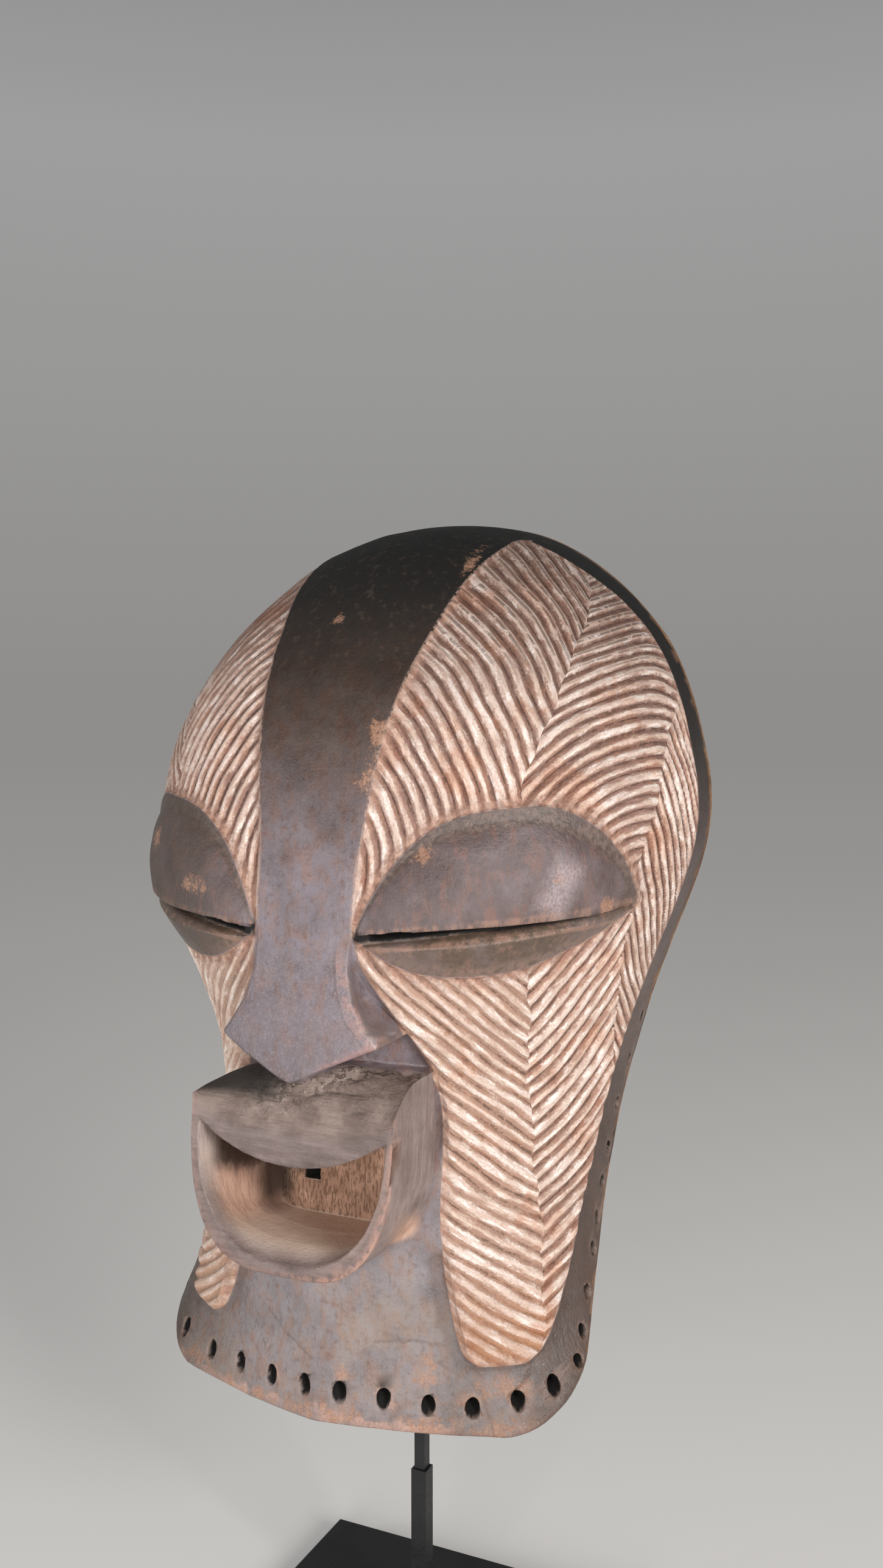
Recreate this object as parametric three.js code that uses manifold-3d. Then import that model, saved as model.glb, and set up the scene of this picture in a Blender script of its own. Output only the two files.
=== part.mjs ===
// A carved Songye face mask, hollow and open at the back, held up by a square steel stem on a low square foot.
// Millimetres, +Z up, the face looks along -Y. The origin is the middle of the foot's underside.
import * as THREE from 'three';
import { mergeVertices } from 'three/addons/utils/BufferGeometryUtils.js';
import Module from 'manifold-3d';

const wasm = await Module();
wasm.setup();

// Where the mask's own datum stands over the foot
const MASK_RISE = 111;
const MASK_FORWARD = 70;

// The mask's horizontal sections: height, half width at the back edge, depth of the front, squareness,
// place of the back edge and half width of the smooth middle band
const SECTIONS = [
  { z: 30, half: 88, front: 149, square: 1.3, back: -121, band: 58 },
  { z: 60, half: 84, front: 146, square: 1.5, back: -96, band: 50 },
  { z: 110, half: 80, front: 143, square: 1.7, back: -64, band: 40 },
  { z: 160, half: 86, front: 143, square: 1.85, back: -45, band: 38 },
  { z: 200, half: 98, front: 152, square: 2.2, back: -38, band: 21 },
  { z: 240, half: 109, front: 147, square: 2.4, back: -32, band: 20 },
  { z: 280, half: 102, front: 138, square: 2.4, back: -23, band: 25 },
  { z: 310, half: 88, front: 119, square: 2.3, back: -15, band: 30.5 },
  { z: 335, half: 65, front: 96, square: 2.2, back: -8, band: 35 },
  { z: 352, half: 39, front: 64, square: 2.2, back: -3, band: 34 },
  { z: 360, half: 0, front: 0, square: 2.2, back: 0, band: 0 },
];

// Wall of the mask, and how much thicker it is behind the mouth
const WALL = 11;
const MOUTH_WALL = 27;
const MOUTH_WALL_HEIGHT = 114;
const MOUTH_WALL_SPREAD = 34;

// The lower rim: its height in the middle, its dip towards the corners and the rounded corners
const RIM_MIDDLE = 35.2;
const RIM_DIP = 0.4;
const RIM_CORNER_START = 0.72;
const RIM_CORNER_RISE = 24;
const LEVEL_ABOVE_RIM = 70;

// Steps between the smooth band, the striped panels and the border along the back edge
const CREST_PROUD = 1.5;
const NECK_SUNK = 3;
const PANEL_PROUD = 0.5;
const PANEL_PROUD_BELOW = 2;
const PANEL_BOTTOM = 56;
const PANEL_TOP = 350;
const PANEL_CORNER = 6;
const COLUMNS_LEVEL_OUT = 355;
const STEP = 0.9;
const STEP_LEAST_HALF = 30;
// The band takes at most this share of the half width, and a panel at least this turn
const BAND_LIMIT = 0.86;
const PANEL_LEAST = 0.12;
// The border widens above this height, so that the panels run out to a point at the top
const BORDER_WIDTH = 17;
const BORDER_WIDER = 20;
const BORDER_WIDENS = 312;

// The nose: a broad flat wedge that grows out of the middle band
const NOSE_TOP = 262;
const NOSE_WING_HEIGHT = 173;
const NOSE_TIP_HEIGHT = 159;
const NOSE_BACK = -126;
const NOSE_FLARE = 4;
const NOSE = [
  { z: 173, half: 31, front: 163, crown: 7 },
  { z: 179, half: 26, front: 162, crown: 5.5 },
  { z: 187, half: 21, front: 160.5, crown: 4.5 },
  { z: 197, half: 18.5, front: 157.5, crown: 3 },
  { z: 215, half: 18.5, front: 154, crown: 2.5 },
  { z: 240, half: 19.5, front: 149, crown: 2.5 },
  { z: 262, half: 22, front: 142, crown: 2 },
];

// The mouth: a box with a sagging top edge and a U-shaped front, and the pocket in it
const MOUTH_PLANE = -165;
const MOUTH_LEAN = 0.1;
const MOUTH_LEVEL = 120;
const MOUTH_BACK = -112;
const BOX = { half: 39.5, bottom: 94, shoulder: 150, square: 3, lipMiddle: 145, lipCorner: 152 };
const POCKET = { half: 34, bottom: 104, shoulder: 140, square: 2.2, lipMiddle: 130.5, lipCorner: 141.5 };
const POCKET_END = { half: 28.5, bottom: 99.5, shoulder: 106, square: 6, lipMiddle: 131, lipCorner: 138 };
const POCKET_DISH = { share: 0.3, side: 2, bottom: 5.5, top: 1 };
const POCKET_BACK = -120;
const POCKET_LAYERS = [-0.25, 0, 0.08, 0.18, POCKET_DISH.share, 1];
// The lip's top climbs from its front edge over the first part of its depth, least at its left side
const LIP_RISE = { middle: 19, left: 1, right: 9, end: 0.36 };
const LIP_LAYERS = [0, 0.08, 0.18, LIP_RISE.end, 1];
const PEG_HOLE = { x: -19, z: 113.8, width: 7, height: 4.8, slant: 13, ahead: 10, behind: 30 };

// The eyes, laid out between their corners along the face
const EYE_INNER_X = 19;
const EYE_OUTER_X = 97;
const SLIT_INNER = 209;
const SLIT_MIDDLE = 214.5;
const SLIT_OUTER = 217;
const UPPER_LID = { reach: 38, innerShape: 4, outerShape: 1.9, bulge: 5.5, edge: 0.8 };
const LOWER_LID = { reach: 18, innerShape: 3, outerShape: 1.7, bulge: 4.5, edge: 0.6 };
const LID_DOME = { reach: 0.87, lean: 0.14, narrow: 1.2, ends: 2.4, endRound: 0.7, topRound: 0.9 };
const LOWER_LID_ROUND = 0.6;
const LOWER_LID_LIP = 0.35;
const LOWER_LID_DROP = 0.2;
const LID_OVERLAP = 0.5;
const LID_ROOT = 5;
const LID_RIDGE = 0.2;
const SLIT_HEIGHT = 2.8;
const SLIT_START = 0.05;
const SLIT_END = 0.8;
const SLIT_SLANT = 0.2;
const SLIT_LEAST = 0.5;
const SLIT_DEPTHS = [16, -20];

// Lacing holes: those above the rim by distance from the middle and height, and smaller ones up the back edges
const HOLE_WIDTH = 4.5;
const HOLE_HEIGHT = 6.8;
const SIDE_HOLE_SHARE = 0.72;
const HOLE_FROM_EDGE = 4.5;
const HOLE_SLANT = 0.62;
const HOLE_TAPER = 0.5;
const HOLE_LENGTH = 34;
const HOLE_INWARD = 6;
const HOLE_FLATS = 7;
const FRONT_HOLES = [
  [-76, 45], [-54.5, 44.2], [-36, 45.5], [-18.5, 46.5], [-3.5, 47.2], [8.5, 46.8],
  [24, 46.3], [40, 45], [55.5, 44.5], [71, 46.5], [83, 50],
];
const SIDE_HOLES = [55.5, 63.5, 74.5, 87.5, 97, 108.5, 120, 135, 151, 167];

// The stand
const FOOT_SIDE = 150;
const FOOT_THICK = 10;
const FOOT_BEVEL = 1;
const SLEEVE_SIDE = 6.6;
const SLEEVE_TOP = 86;
const STEM_SIDE = 4.6;
const STEM_Y = 10;
const BAR_LOW = 72;
const BAR_HIGH = 268;
const GAP = 0.3;

// A smooth curve through the given points, with the given slope at its far end
function spline(at, values, endSlope) {
  const n = at.length;
  const rows = [];
  const slopes = new Array(n).fill(0);
  const width = (i) => at[i + 1] - at[i];
  const rise = (i) => (values[i + 1] - values[i]) / width(i);
  // natural at the start, fixed slope at the end, solved by one sweep down and one back
  rows.push({ diagonal: 2, upper: 1, right: 3 * rise(0) });
  for (let i = 1; i < n - 1; i += 1) {
    const lower = width(i);
    const upper = width(i - 1);
    const last = rows[i - 1];
    const factor = lower / last.diagonal;
    rows.push({
      diagonal: 2 * (lower + upper) - factor * last.upper,
      upper,
      right: 3 * (lower * rise(i - 1) + upper * rise(i)) - factor * last.right,
    });
  }
  slopes[n - 1] = endSlope;
  for (let i = n - 2; i >= 0; i -= 1) {
    slopes[i] = (rows[i].right - rows[i].upper * slopes[i + 1]) / rows[i].diagonal;
  }
  return (x) => {
    let i = 0;
    while (i < n - 2 && x > at[i + 1]) i += 1;
    const h = width(i);
    const u = (x - at[i]) / h;
    const chord = values[i] * (1 + 2 * u) * (1 - u) ** 2 + values[i + 1] * u * u * (3 - 2 * u);
    return chord + h * u * (1 - u) * (slopes[i] * (1 - u) - slopes[i + 1] * u);
  };
}

// Straight interpolation between rows of a small table that is sorted by height
function between(table, key, z) {
  let i = 0;
  while (i < table.length - 2 && z > table[i + 1].z) i += 1;
  const u = THREE.MathUtils.clamp((z - table[i].z) / (table[i + 1].z - table[i].z), 0, 1);
  return table[i][key] + (table[i + 1][key] - table[i][key]) * u;
}

// Distance run along the face's middle line gives the sections their places
const run = [0];
for (let i = 1; i < SECTIONS.length; i += 1) {
  const a = SECTIONS[i - 1];
  const b = SECTIONS[i];
  run.push(run[i - 1] + Math.hypot(b.z - a.z, b.front - a.front));
}
const RUN_END = run[run.length - 1];
const column = (key) => SECTIONS.map((section) => section[key]);
const lastSlope = (key) => {
  const values = column(key);
  const n = values.length;
  return (values[n - 1] - values[n - 2]) / (run[n - 1] - run[n - 2]);
};
const heightAt = spline(run, column('z'), 0);
const halfAt = spline(run, column('half'), lastSlope('half'));
const frontAt = spline(run, column('front'), lastSlope('front'));
const squareAt = spline(run, column('square'), 0);
const backAt = spline(run, column('back'), lastSlope('back'));
const bandAt = spline(run, column('band'), lastSlope('band'));

// The run at which the face reaches a given height
function runAt(z) {
  let low = -10;
  let high = RUN_END;
  for (let i = 0; i < 40; i += 1) {
    const middle = (low + high) / 2;
    if (heightAt(middle) < z) low = middle;
    else high = middle;
  }
  return (low + high) / 2;
}

// A point of the plain face: s runs up its middle line, t turns from the middle to the back edge at 90 degrees
function facePoint(s, t) {
  const power = 2 / squareAt(s);
  const back = backAt(s);
  const across = Math.sign(t) * Math.abs(Math.sin(t)) ** power;
  const along = Math.max(Math.cos(t), 0) ** power;
  return new THREE.Vector3(halfAt(s) * across, back - (frontAt(s) + back) * along, heightAt(s));
}

// The face's outward direction, taken a little inside its ends
function faceNormal(s, t) {
  const e = 0.01;
  const inS = Math.min(s, RUN_END - 2);
  const inT = THREE.MathUtils.clamp(t, -Math.PI / 2 + 2 * e, Math.PI / 2 - 2 * e);
  const up = facePoint(inS + 1, inT).sub(facePoint(inS - 1, inT));
  const round = facePoint(inS, inT + e).sub(facePoint(inS, inT - e));
  return round.cross(up).normalize();
}

function offFace(s, t, distance) {
  return facePoint(s, t).addScaledVector(faceNormal(s, t), distance);
}

// The turn at which the face is a given distance from the middle plane
function turnAt(s, x) {
  const ratio = Math.min(Math.abs(x) / Math.max(halfAt(s), 1e-6), 1);
  return Math.sign(x) * Math.asin(ratio ** (squareAt(s) / 2));
}

// The turn at which the face is a given distance forward of the back edge
function turnFromBack(s, distance) {
  const depth = Math.max(frontAt(s) + backAt(s), 1e-6);
  return Math.acos(Math.min(distance / depth, 0.95) ** (squareAt(s) / 2));
}

// A turn moved on by a distance along the face, backwards where the distance is negative
function turnMoved(s, t, distance) {
  const e = 0.01;
  const pace = facePoint(s, t + e).distanceTo(facePoint(s, t - e)) / (2 * e);
  return t + distance / pace;
}

// The closed skin of a block made of layers, each a grid of points, from its front face to its back face
function block(...layers) {
  const rows = layers[0].length;
  const columns = layers[0][0].length;
  const points = layers.flat(2);
  const positions = new Float32Array(points.length * 3);
  points.forEach((p, i) => positions.set([p.x, p.y, p.z], 3 * i));
  const at = (layer, i, j) => (layer * rows + i) * columns + j;
  const last = layers.length - 1;
  const index = [];
  const quad = (a, b, c, d) => index.push(a, b, c, a, c, d);
  for (let i = 0; i < rows - 1; i += 1) {
    for (let j = 0; j < columns - 1; j += 1) {
      quad(at(0, i, j), at(0, i, j + 1), at(0, i + 1, j + 1), at(0, i + 1, j));
      quad(at(last, i, j), at(last, i + 1, j), at(last, i + 1, j + 1), at(last, i, j + 1));
    }
  }
  // the rim of each layer, run round against the way its faces turn
  const rim = [];
  for (let i = 0; i < rows - 1; i += 1) rim.push([i, 0]);
  for (let j = 0; j < columns - 1; j += 1) rim.push([rows - 1, j]);
  for (let i = rows - 1; i > 0; i -= 1) rim.push([i, columns - 1]);
  for (let j = columns - 1; j > 0; j -= 1) rim.push([0, j]);
  for (let layer = 0; layer < last; layer += 1) {
    rim.forEach(([i, j], k) => {
      const [i2, j2] = rim[(k + 1) % rim.length];
      quad(at(layer, i, j), at(layer, i2, j2), at(layer + 1, i2, j2), at(layer + 1, i, j));
    });
  }
  const geometry = new THREE.BufferGeometry();
  geometry.setAttribute('position', new THREE.BufferAttribute(positions, 3));
  geometry.setIndex(index);
  return geometry;
}

// A solid from a closed geometry, without the triangles that close up where points meet
function solid(source) {
  const bare = source.clone();
  bare.deleteAttribute('normal');
  bare.deleteAttribute('uv');
  const geometry = mergeVertices(bare, 1e-4);
  const index = geometry.index.array;
  const kept = [];
  for (let i = 0; i < index.length; i += 3) {
    const [a, b, c] = [index[i], index[i + 1], index[i + 2]];
    if (a !== b && b !== c && a !== c) kept.push(a, b, c);
  }
  const mesh = new wasm.Mesh({
    numProp: 3,
    vertProperties: new Float32Array(geometry.attributes.position.array),
    triVerts: new Uint32Array(kept),
  });
  return new wasm.Manifold(mesh);
}

function geometryOf(body) {
  const mesh = body.getMesh();
  const geometry = new THREE.BufferGeometry();
  geometry.setAttribute('position', new THREE.BufferAttribute(new Float32Array(mesh.vertProperties), 3));
  geometry.setIndex(new THREE.BufferAttribute(new Uint32Array(mesh.triVerts), 1));
  return geometry;
}

// Evenly spaced numbers from first to last
function steps(first, last, count) {
  return Array.from({ length: count + 1 }, (_, i) => first + ((last - first) * i) / count);
}

// The rim's height, by how far out towards the corner the point lies, 0 in the middle and 1 at the corner
function rimHeight(out) {
  const dip = RIM_DIP * Math.sin((Math.PI / 2) * Math.min(out / RIM_CORNER_START, 1)) ** 2;
  const corner = Math.max((out - RIM_CORNER_START) / (1 - RIM_CORNER_START), 0);
  return RIM_MIDDLE - dip + RIM_CORNER_RISE * (1 - Math.sqrt(1 - corner * corner));
}

// The run of a row at a given turn: rows are level above the rim zone and follow the rim's curve below it
function rowRun(height, t) {
  if (height >= LEVEL_ABOVE_RIM) return runAt(height);
  const lowest = SECTIONS[0].z;
  const share = (height - lowest) / (LEVEL_ABOVE_RIM - lowest);
  const out = Math.abs(Math.sin(t)) ** (2 / squareAt(0));
  const rim = rimHeight(out);
  return runAt(rim + (LEVEL_ABOVE_RIM - rim) * share);
}

// How far each zone of the face stands out
function bandProud(z) {
  if (z > 215) return CREST_PROUD * (1 - THREE.MathUtils.smoothstep(z, 335, 356));
  const sunk = -NECK_SUNK * THREE.MathUtils.smoothstep(z, 36, 80);
  return sunk + (CREST_PROUD + NECK_SUNK) * THREE.MathUtils.smoothstep(z, 172, 215);
}

function panelProud(z) {
  const below = THREE.MathUtils.smoothstep(200 - z, 0, 80);
  return PANEL_PROUD + (PANEL_PROUD_BELOW - PANEL_PROUD) * below;
}

function borderWidth(z) {
  const up = THREE.MathUtils.clamp((z - BORDER_WIDENS) / (PANEL_TOP - BORDER_WIDENS), 0, 1);
  return BORDER_WIDTH + BORDER_WIDER * up ** 1.5;
}

// The places of one row's points on the right half: smooth band, striped panel and border, with their heights
function rowColumns(height) {
  const s = runAt(Math.min(height, COLUMNS_LEVEL_OUT));
  const z = heightAt(s);
  const striped = height > PANEL_BOTTOM && height < PANEL_TOP;
  // the panel's lower corners are rounded
  const belowCorner = striped ? Math.max(PANEL_CORNER - (height - PANEL_BOTTOM), 0) : 0;
  const inset = PANEL_CORNER - Math.sqrt(PANEL_CORNER ** 2 - belowCorner ** 2);
  const bandEdge = turnAt(s, Math.min(bandAt(s), BAND_LIMIT * halfAt(s)));
  const borderEdge = Math.max(turnFromBack(s, borderWidth(z)), bandEdge + PANEL_LEAST);
  const bandTurn = turnMoved(s, bandEdge, inset);
  const borderTurn = turnMoved(s, borderEdge, -inset);
  const step = STEP / Math.max(halfAt(s), STEP_LEAST_HALF);
  const band = bandProud(height < LEVEL_ABOVE_RIM ? height : z);
  const panel = striped ? panelProud(z) : Math.min(band, 0);
  const places = [];
  for (const u of steps(0, 1, 3)) places.push({ t: bandTurn * u, proud: band });
  for (const u of steps(0, 1, 5)) {
    const t = bandTurn + step + (borderTurn - bandTurn - 2 * step) * u;
    places.push({ t, proud: panel });
  }
  for (const u of steps(0, 1, 3)) places.push({ t: borderTurn + (Math.PI / 2 - borderTurn) * u, proud: 0 });
  return places;
}

function rowPoints(height) {
  const right = rowColumns(height);
  const left = right.slice(1).reverse().map((place) => ({ t: -place.t, proud: place.proud }));
  return [...left, ...right];
}

// The heights of the rows up the face, with a pair at each end of the striped panels
function rowHeights() {
  const lowest = SECTIONS[0].z;
  const edge = 0.5;
  const low = steps(lowest, PANEL_BOTTOM - edge, 3);
  const middle = steps(PANEL_BOTTOM + edge, 335, 23);
  const high = [343, PANEL_TOP - edge, PANEL_TOP + edge, 353.5, 357, 359.2];
  return [...low, ...middle, ...high];
}

// The whole head of the mask before it is hollowed
function outerBody() {
  const front = [];
  const back = [];
  for (const height of rowHeights()) {
    const row = rowPoints(height);
    const points = row.map(({ t, proud }) => offFace(rowRun(height, t), t, proud));
    front.push(points);
    back.push(points.map((p, j) => {
      const t = row[j].t;
      return new THREE.Vector3(p.x, backAt(rowRun(height, t)), p.z);
    }));
  }
  const pole = facePoint(RUN_END, 0);
  front.push(front[0].map(() => pole.clone()));
  back.push(front[0].map(() => pole.clone()));
  return solid(block(front, back));
}

// The room inside a wall of the given thickness, open to the back and below
function innerRoom(wall) {
  const turns = steps(-1, 1, 18).map((u) => (u * Math.PI) / 2);
  const heights = [...steps(SECTIONS[0].z - 8, 340, 15), 350, 357];
  const reachBack = 30;
  const reachDown = 30;
  const front = [];
  for (const height of heights) {
    front.push(turns.map((t) => {
      const s = runAt(height);
      const p = facePoint(s, t);
      const nearMouth = Math.exp(-(((height - MOUTH_WALL_HEIGHT) / MOUTH_WALL_SPREAD) ** 2));
      const nearMiddle = Math.exp(-((p.x / (MOUTH_WALL_SPREAD + 8)) ** 2));
      return offFace(s, t, -wall - MOUTH_WALL * nearMouth * nearMiddle);
    }));
  }
  const lowest = front[0].map((p) => new THREE.Vector3(p.x, p.y, p.z - reachDown));
  front.unshift(lowest);
  const top = facePoint(RUN_END, 0);
  front.push(turns.map(() => new THREE.Vector3(0, top.y, top.z - wall)));
  const back = front.map((row) => row.map((p) => new THREE.Vector3(p.x, reachBack, p.z)));
  return solid(block(front, back));
}

function noseBody() {
  const front = [];
  const back = [];
  for (const u of steps(1, 0, 12)) {
    const wing = NOSE_TOP + (NOSE_WING_HEIGHT - NOSE_TOP) * u;
    const half = between(NOSE, 'half', wing);
    const tip = NOSE_TOP + (NOSE_TIP_HEIGHT - NOSE_TOP) * u;
    const frontRow = [];
    const backRow = [];
    for (const q of steps(-1, 1, 8)) {
      const z = tip + (wing - tip) * Math.abs(q);
      const y = -between(NOSE, 'front', wing) + between(NOSE, 'crown', wing) * q * q;
      frontRow.push(new THREE.Vector3(q * half, y, z));
      backRow.push(new THREE.Vector3(q * (half + NOSE_FLARE), NOSE_BACK, z + 3 * u));
    }
    front.push(frontRow);
    back.push(backRow);
  }
  return solid(block(front, back));
}

// A grid over a mouth outline: a curved top edge and a squared U below it
function mouthGrid(outline, place) {
  const columns = 18;
  const rows = 3;
  const grid = [];
  for (let i = 0; i <= rows; i += 1) {
    const row = [];
    for (const u of steps(-1, 1, columns)) {
      const angle = (u * Math.PI) / 2;
      const power = 2 / outline.square;
      const across = Math.sign(u) * Math.abs(Math.sin(angle)) ** power;
      const x = outline.half * across;
      const top = outline.lipMiddle + (outline.lipCorner - outline.lipMiddle) * across * across;
      const drop = (outline.shoulder - outline.bottom) * Math.max(Math.cos(angle), 0) ** power;
      const bottom = Math.min(outline.shoulder - drop, top - 1);
      row.push(place(x, bottom + ((top - bottom) * i) / rows, i / rows));
    }
    grid.push(row);
  }
  return grid;
}

function mouthFront(z) {
  return MOUTH_PLANE + MOUTH_LEAN * (z - MOUTH_LEVEL);
}

// The box reaches back into the face, its top climbing to meet the underside of the nose
function mouthBody() {
  const layers = LIP_LAYERS.map((depth) => {
    const climbed = 1 - Math.max(1 - depth / LIP_RISE.end, 0) ** 2;
    return mouthGrid(BOX, (x, z, up) => {
      const side = x < 0 ? LIP_RISE.left : LIP_RISE.right;
      const rise = LIP_RISE.middle + (side - LIP_RISE.middle) * (x / BOX.half) ** 2;
      const y = mouthFront(z) + (MOUTH_BACK - mouthFront(z)) * depth;
      return new THREE.Vector3(x, y, z + rise * up * climbed);
    });
  });
  return solid(block(...layers));
}

// The pocket has a dished edge and squares off towards its flat back wall
function mouthPocket() {
  const layers = POCKET_LAYERS.map((share) => {
    const inward = Math.max(share, 0);
    const dish = Math.max(1 - inward / POCKET_DISH.share, 0) ** 2;
    const outline = {};
    for (const key of Object.keys(POCKET)) outline[key] = POCKET[key] + (POCKET_END[key] - POCKET[key]) * inward;
    outline.half += POCKET_DISH.side * dish;
    outline.bottom -= POCKET_DISH.bottom * dish;
    outline.lipMiddle += POCKET_DISH.top * dish;
    outline.lipCorner += POCKET_DISH.top * dish;
    return mouthGrid(outline, (x, z) => {
      return new THREE.Vector3(x, mouthFront(z) + (POCKET_BACK - mouthFront(z)) * share, z);
    });
  });
  return solid(block(...layers));
}

// A small square hole that leads sideways into the room behind, with its ends well clear of the wall
function pegHole() {
  const { x, z, width, height, slant, ahead, behind } = PEG_HOLE;
  const ends = [{ y: POCKET_BACK - ahead, aside: 0 }, { y: POCKET_BACK + behind, aside: slant }];
  const [front, back] = ends.map(({ y, aside }) => {
    return [z - height / 2, z + height / 2].map((level) => {
      return [x - width / 2, x + width / 2].map((across) => new THREE.Vector3(across + aside, y, level));
    });
  });
  return solid(block(front, back));
}

// The eye's layout: a runs from the inner to the outer corner, and the slit line rises gently along it
function slitHeight(a) {
  return SLIT_INNER + (SLIT_OUTER - SLIT_INNER) * a + (SLIT_MIDDLE - (SLIT_INNER + SLIT_OUTER) / 2) * 4 * a * (1 - a);
}

function lidReach(lid, a) {
  const shape = a < 0.5 ? lid.innerShape : lid.outerShape;
  return lid.reach * (1 - Math.abs(2 * a - 1) ** shape);
}

function eyePoint(side, a, z, distance) {
  const s = runAt(z);
  const inner = turnAt(s, EYE_INNER_X);
  const outer = turnAt(runAt(SLIT_OUTER), EYE_OUTER_X);
  return offFace(s, side * (inner + (outer - inner) * a), distance);
}

// A grid from the inner to the outer corner; height and distance say where each point of it lies
function eyeGrid(side, across, along, place) {
  return along.map((b) => {
    const row = across.map((a) => {
      const { z, distance } = place(a, b);
      return eyePoint(side, a, z, distance);
    });
    return side > 0 ? row : row.reverse();
  });
}

// How high the upper lid's dome stands, with a flat margin left round it
function lidDome(a, b) {
  const out = 2 * a - 1;
  const end = Math.min(out > 0 ? out * LID_DOME.narrow : -out, 1);
  const limit = LID_DOME.reach - LID_DOME.lean * Math.max(out, 0);
  const along = (1 - end ** LID_DOME.ends) ** LID_DOME.endRound;
  return along * Math.max(1 - (b / limit) ** 2, 0) ** LID_DOME.topRound;
}

function upperLid(side) {
  const across = steps(0.012, 0.988, 16);
  const along = steps(0, 1, 6);
  const lid = UPPER_LID;
  const height = (a, b) => slitHeight(a) + (lidReach(lid, a) + LID_OVERLAP) * b;
  const front = eyeGrid(side, across, along, (a, b) => {
    return { z: height(a, b), distance: lid.edge + PANEL_PROUD + lid.bulge * lidDome(a, b) };
  });
  const back = eyeGrid(side, across, along, (a, b) => ({ z: height(a, b), distance: -LID_ROOT }));
  return solid(block(front, back));
}

function lowerLid(side) {
  const across = steps(0.03, 0.97, 14);
  const along = [1, 0.6, LID_RIDGE, 0];
  const lid = LOWER_LID;
  const gap = (a) => SLIT_HEIGHT * (a < SLIT_END ? 1 - (a / SLIT_END) ** 2 : 0);
  const height = (a, b) => slitHeight(a) - gap(a) - LOWER_LID_DROP - (lidReach(lid, a) - gap(a) + LID_OVERLAP) * b;
  const bulge = (a) => lid.bulge * (1 - Math.abs(2 * a - 1) ** 2) ** LOWER_LID_ROUND;
  const rising = (b) => LOWER_LID_LIP + ((1 - LOWER_LID_LIP) * b) / LID_RIDGE;
  const profile = (b) => (b < LID_RIDGE ? rising(b) : (1 - b) / (1 - LID_RIDGE));
  const front = eyeGrid(side, across, along, (a, b) => {
    return { z: height(a, b), distance: lid.edge + PANEL_PROUD + bulge(a) * profile(b) };
  });
  const back = eyeGrid(side, across, along, (a, b) => ({ z: height(a, b), distance: -LID_ROOT }));
  return solid(block(front, back));
}

// The slit rises inwards, so that it reads dark from in front
function eyeSlit(side) {
  const across = steps(SLIT_START, SLIT_END, 8);
  const lid = (a) => Math.max(SLIT_HEIGHT * (1 - (a / SLIT_END) ** 2), SLIT_LEAST);
  const [front, back] = SLIT_DEPTHS.map((distance) => {
    const rise = SLIT_SLANT * (UPPER_LID.bulge - distance);
    return eyeGrid(side, across, [0, 1], (a, b) => ({ z: slitHeight(a) - lid(a) * (1 - b) + rise, distance }));
  });
  return solid(block(front, back));
}

// An oval hole through the wall at a place on the face, which narrows and rises inwards
function lacingHole(s, t, share) {
  const outerEnd = 1 + (HOLE_TAPER * (HOLE_LENGTH / 2 - HOLE_INWARD)) / HOLE_LENGTH;
  const radius = (share * HOLE_WIDTH) / 2;
  const shape = new THREE.CylinderGeometry(radius * (outerEnd - HOLE_TAPER), radius * outerEnd, HOLE_LENGTH, HOLE_FLATS);
  shape.scale(1, 1, HOLE_HEIGHT / HOLE_WIDTH);
  const normal = faceNormal(s, t);
  const side = new THREE.Vector3(0, 0, 1).cross(normal).normalize();
  const up = normal.clone().cross(side);
  const way = normal.clone().addScaledVector(up, -HOLE_SLANT);
  const turn = new THREE.Matrix4().makeBasis(side, way.clone().negate(), up);
  turn.setPosition(facePoint(s, t).addScaledVector(way, -HOLE_INWARD));
  shape.applyMatrix4(turn);
  return solid(shape);
}

// The turn reached after a given distance along the face at a fixed run
function turnAfter(s, distance) {
  const pieces = 200;
  let travelled = 0;
  let last = facePoint(s, 0);
  for (const t of steps(0, Math.PI / 2, pieces)) {
    const p = facePoint(s, t);
    travelled += p.distanceTo(last);
    last = p;
    if (travelled >= Math.abs(distance)) return Math.sign(distance) * t;
  }
  return (Math.sign(distance) * Math.PI) / 2;
}

function lacingHoles() {
  const holes = [];
  for (const [distance, z] of FRONT_HOLES) {
    holes.push(lacingHole(runAt(z), turnAfter(runAt(RIM_MIDDLE), distance), 1));
  }
  for (const side of [-1, 1]) {
    for (const z of SIDE_HOLES) {
      const s = runAt(z);
      holes.push(lacingHole(s, side * turnFromBack(s, HOLE_FROM_EDGE), SIDE_HOLE_SHARE));
    }
  }
  return holes;
}

function maskBody() {
  let body = outerBody().add(noseBody()).add(mouthBody());
  for (const side of [-1, 1]) body = body.add(upperLid(side)).add(lowerLid(side));
  body = body.subtract(innerRoom(WALL)).subtract(mouthPocket()).subtract(pegHole());
  for (const side of [-1, 1]) body = body.subtract(eyeSlit(side));
  for (const hole of lacingHoles()) body = body.subtract(hole);
  return body;
}

function piece(name, geometry, color, roughness, metalness) {
  const material = new THREE.MeshStandardMaterial({ color, roughness, metalness });
  const mesh = new THREE.Mesh(geometry, material);
  mesh.name = name;
  return mesh;
}

// A square bar between two corners, in the mask's own frame
function bar(from, to) {
  const size = new THREE.Vector3().subVectors(to, from);
  const shape = new THREE.BoxGeometry(size.x, size.y, size.z);
  shape.translate((from.x + to.x) / 2, (from.y + to.y) / 2, (from.z + to.z) / 2);
  return solid(shape);
}

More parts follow.
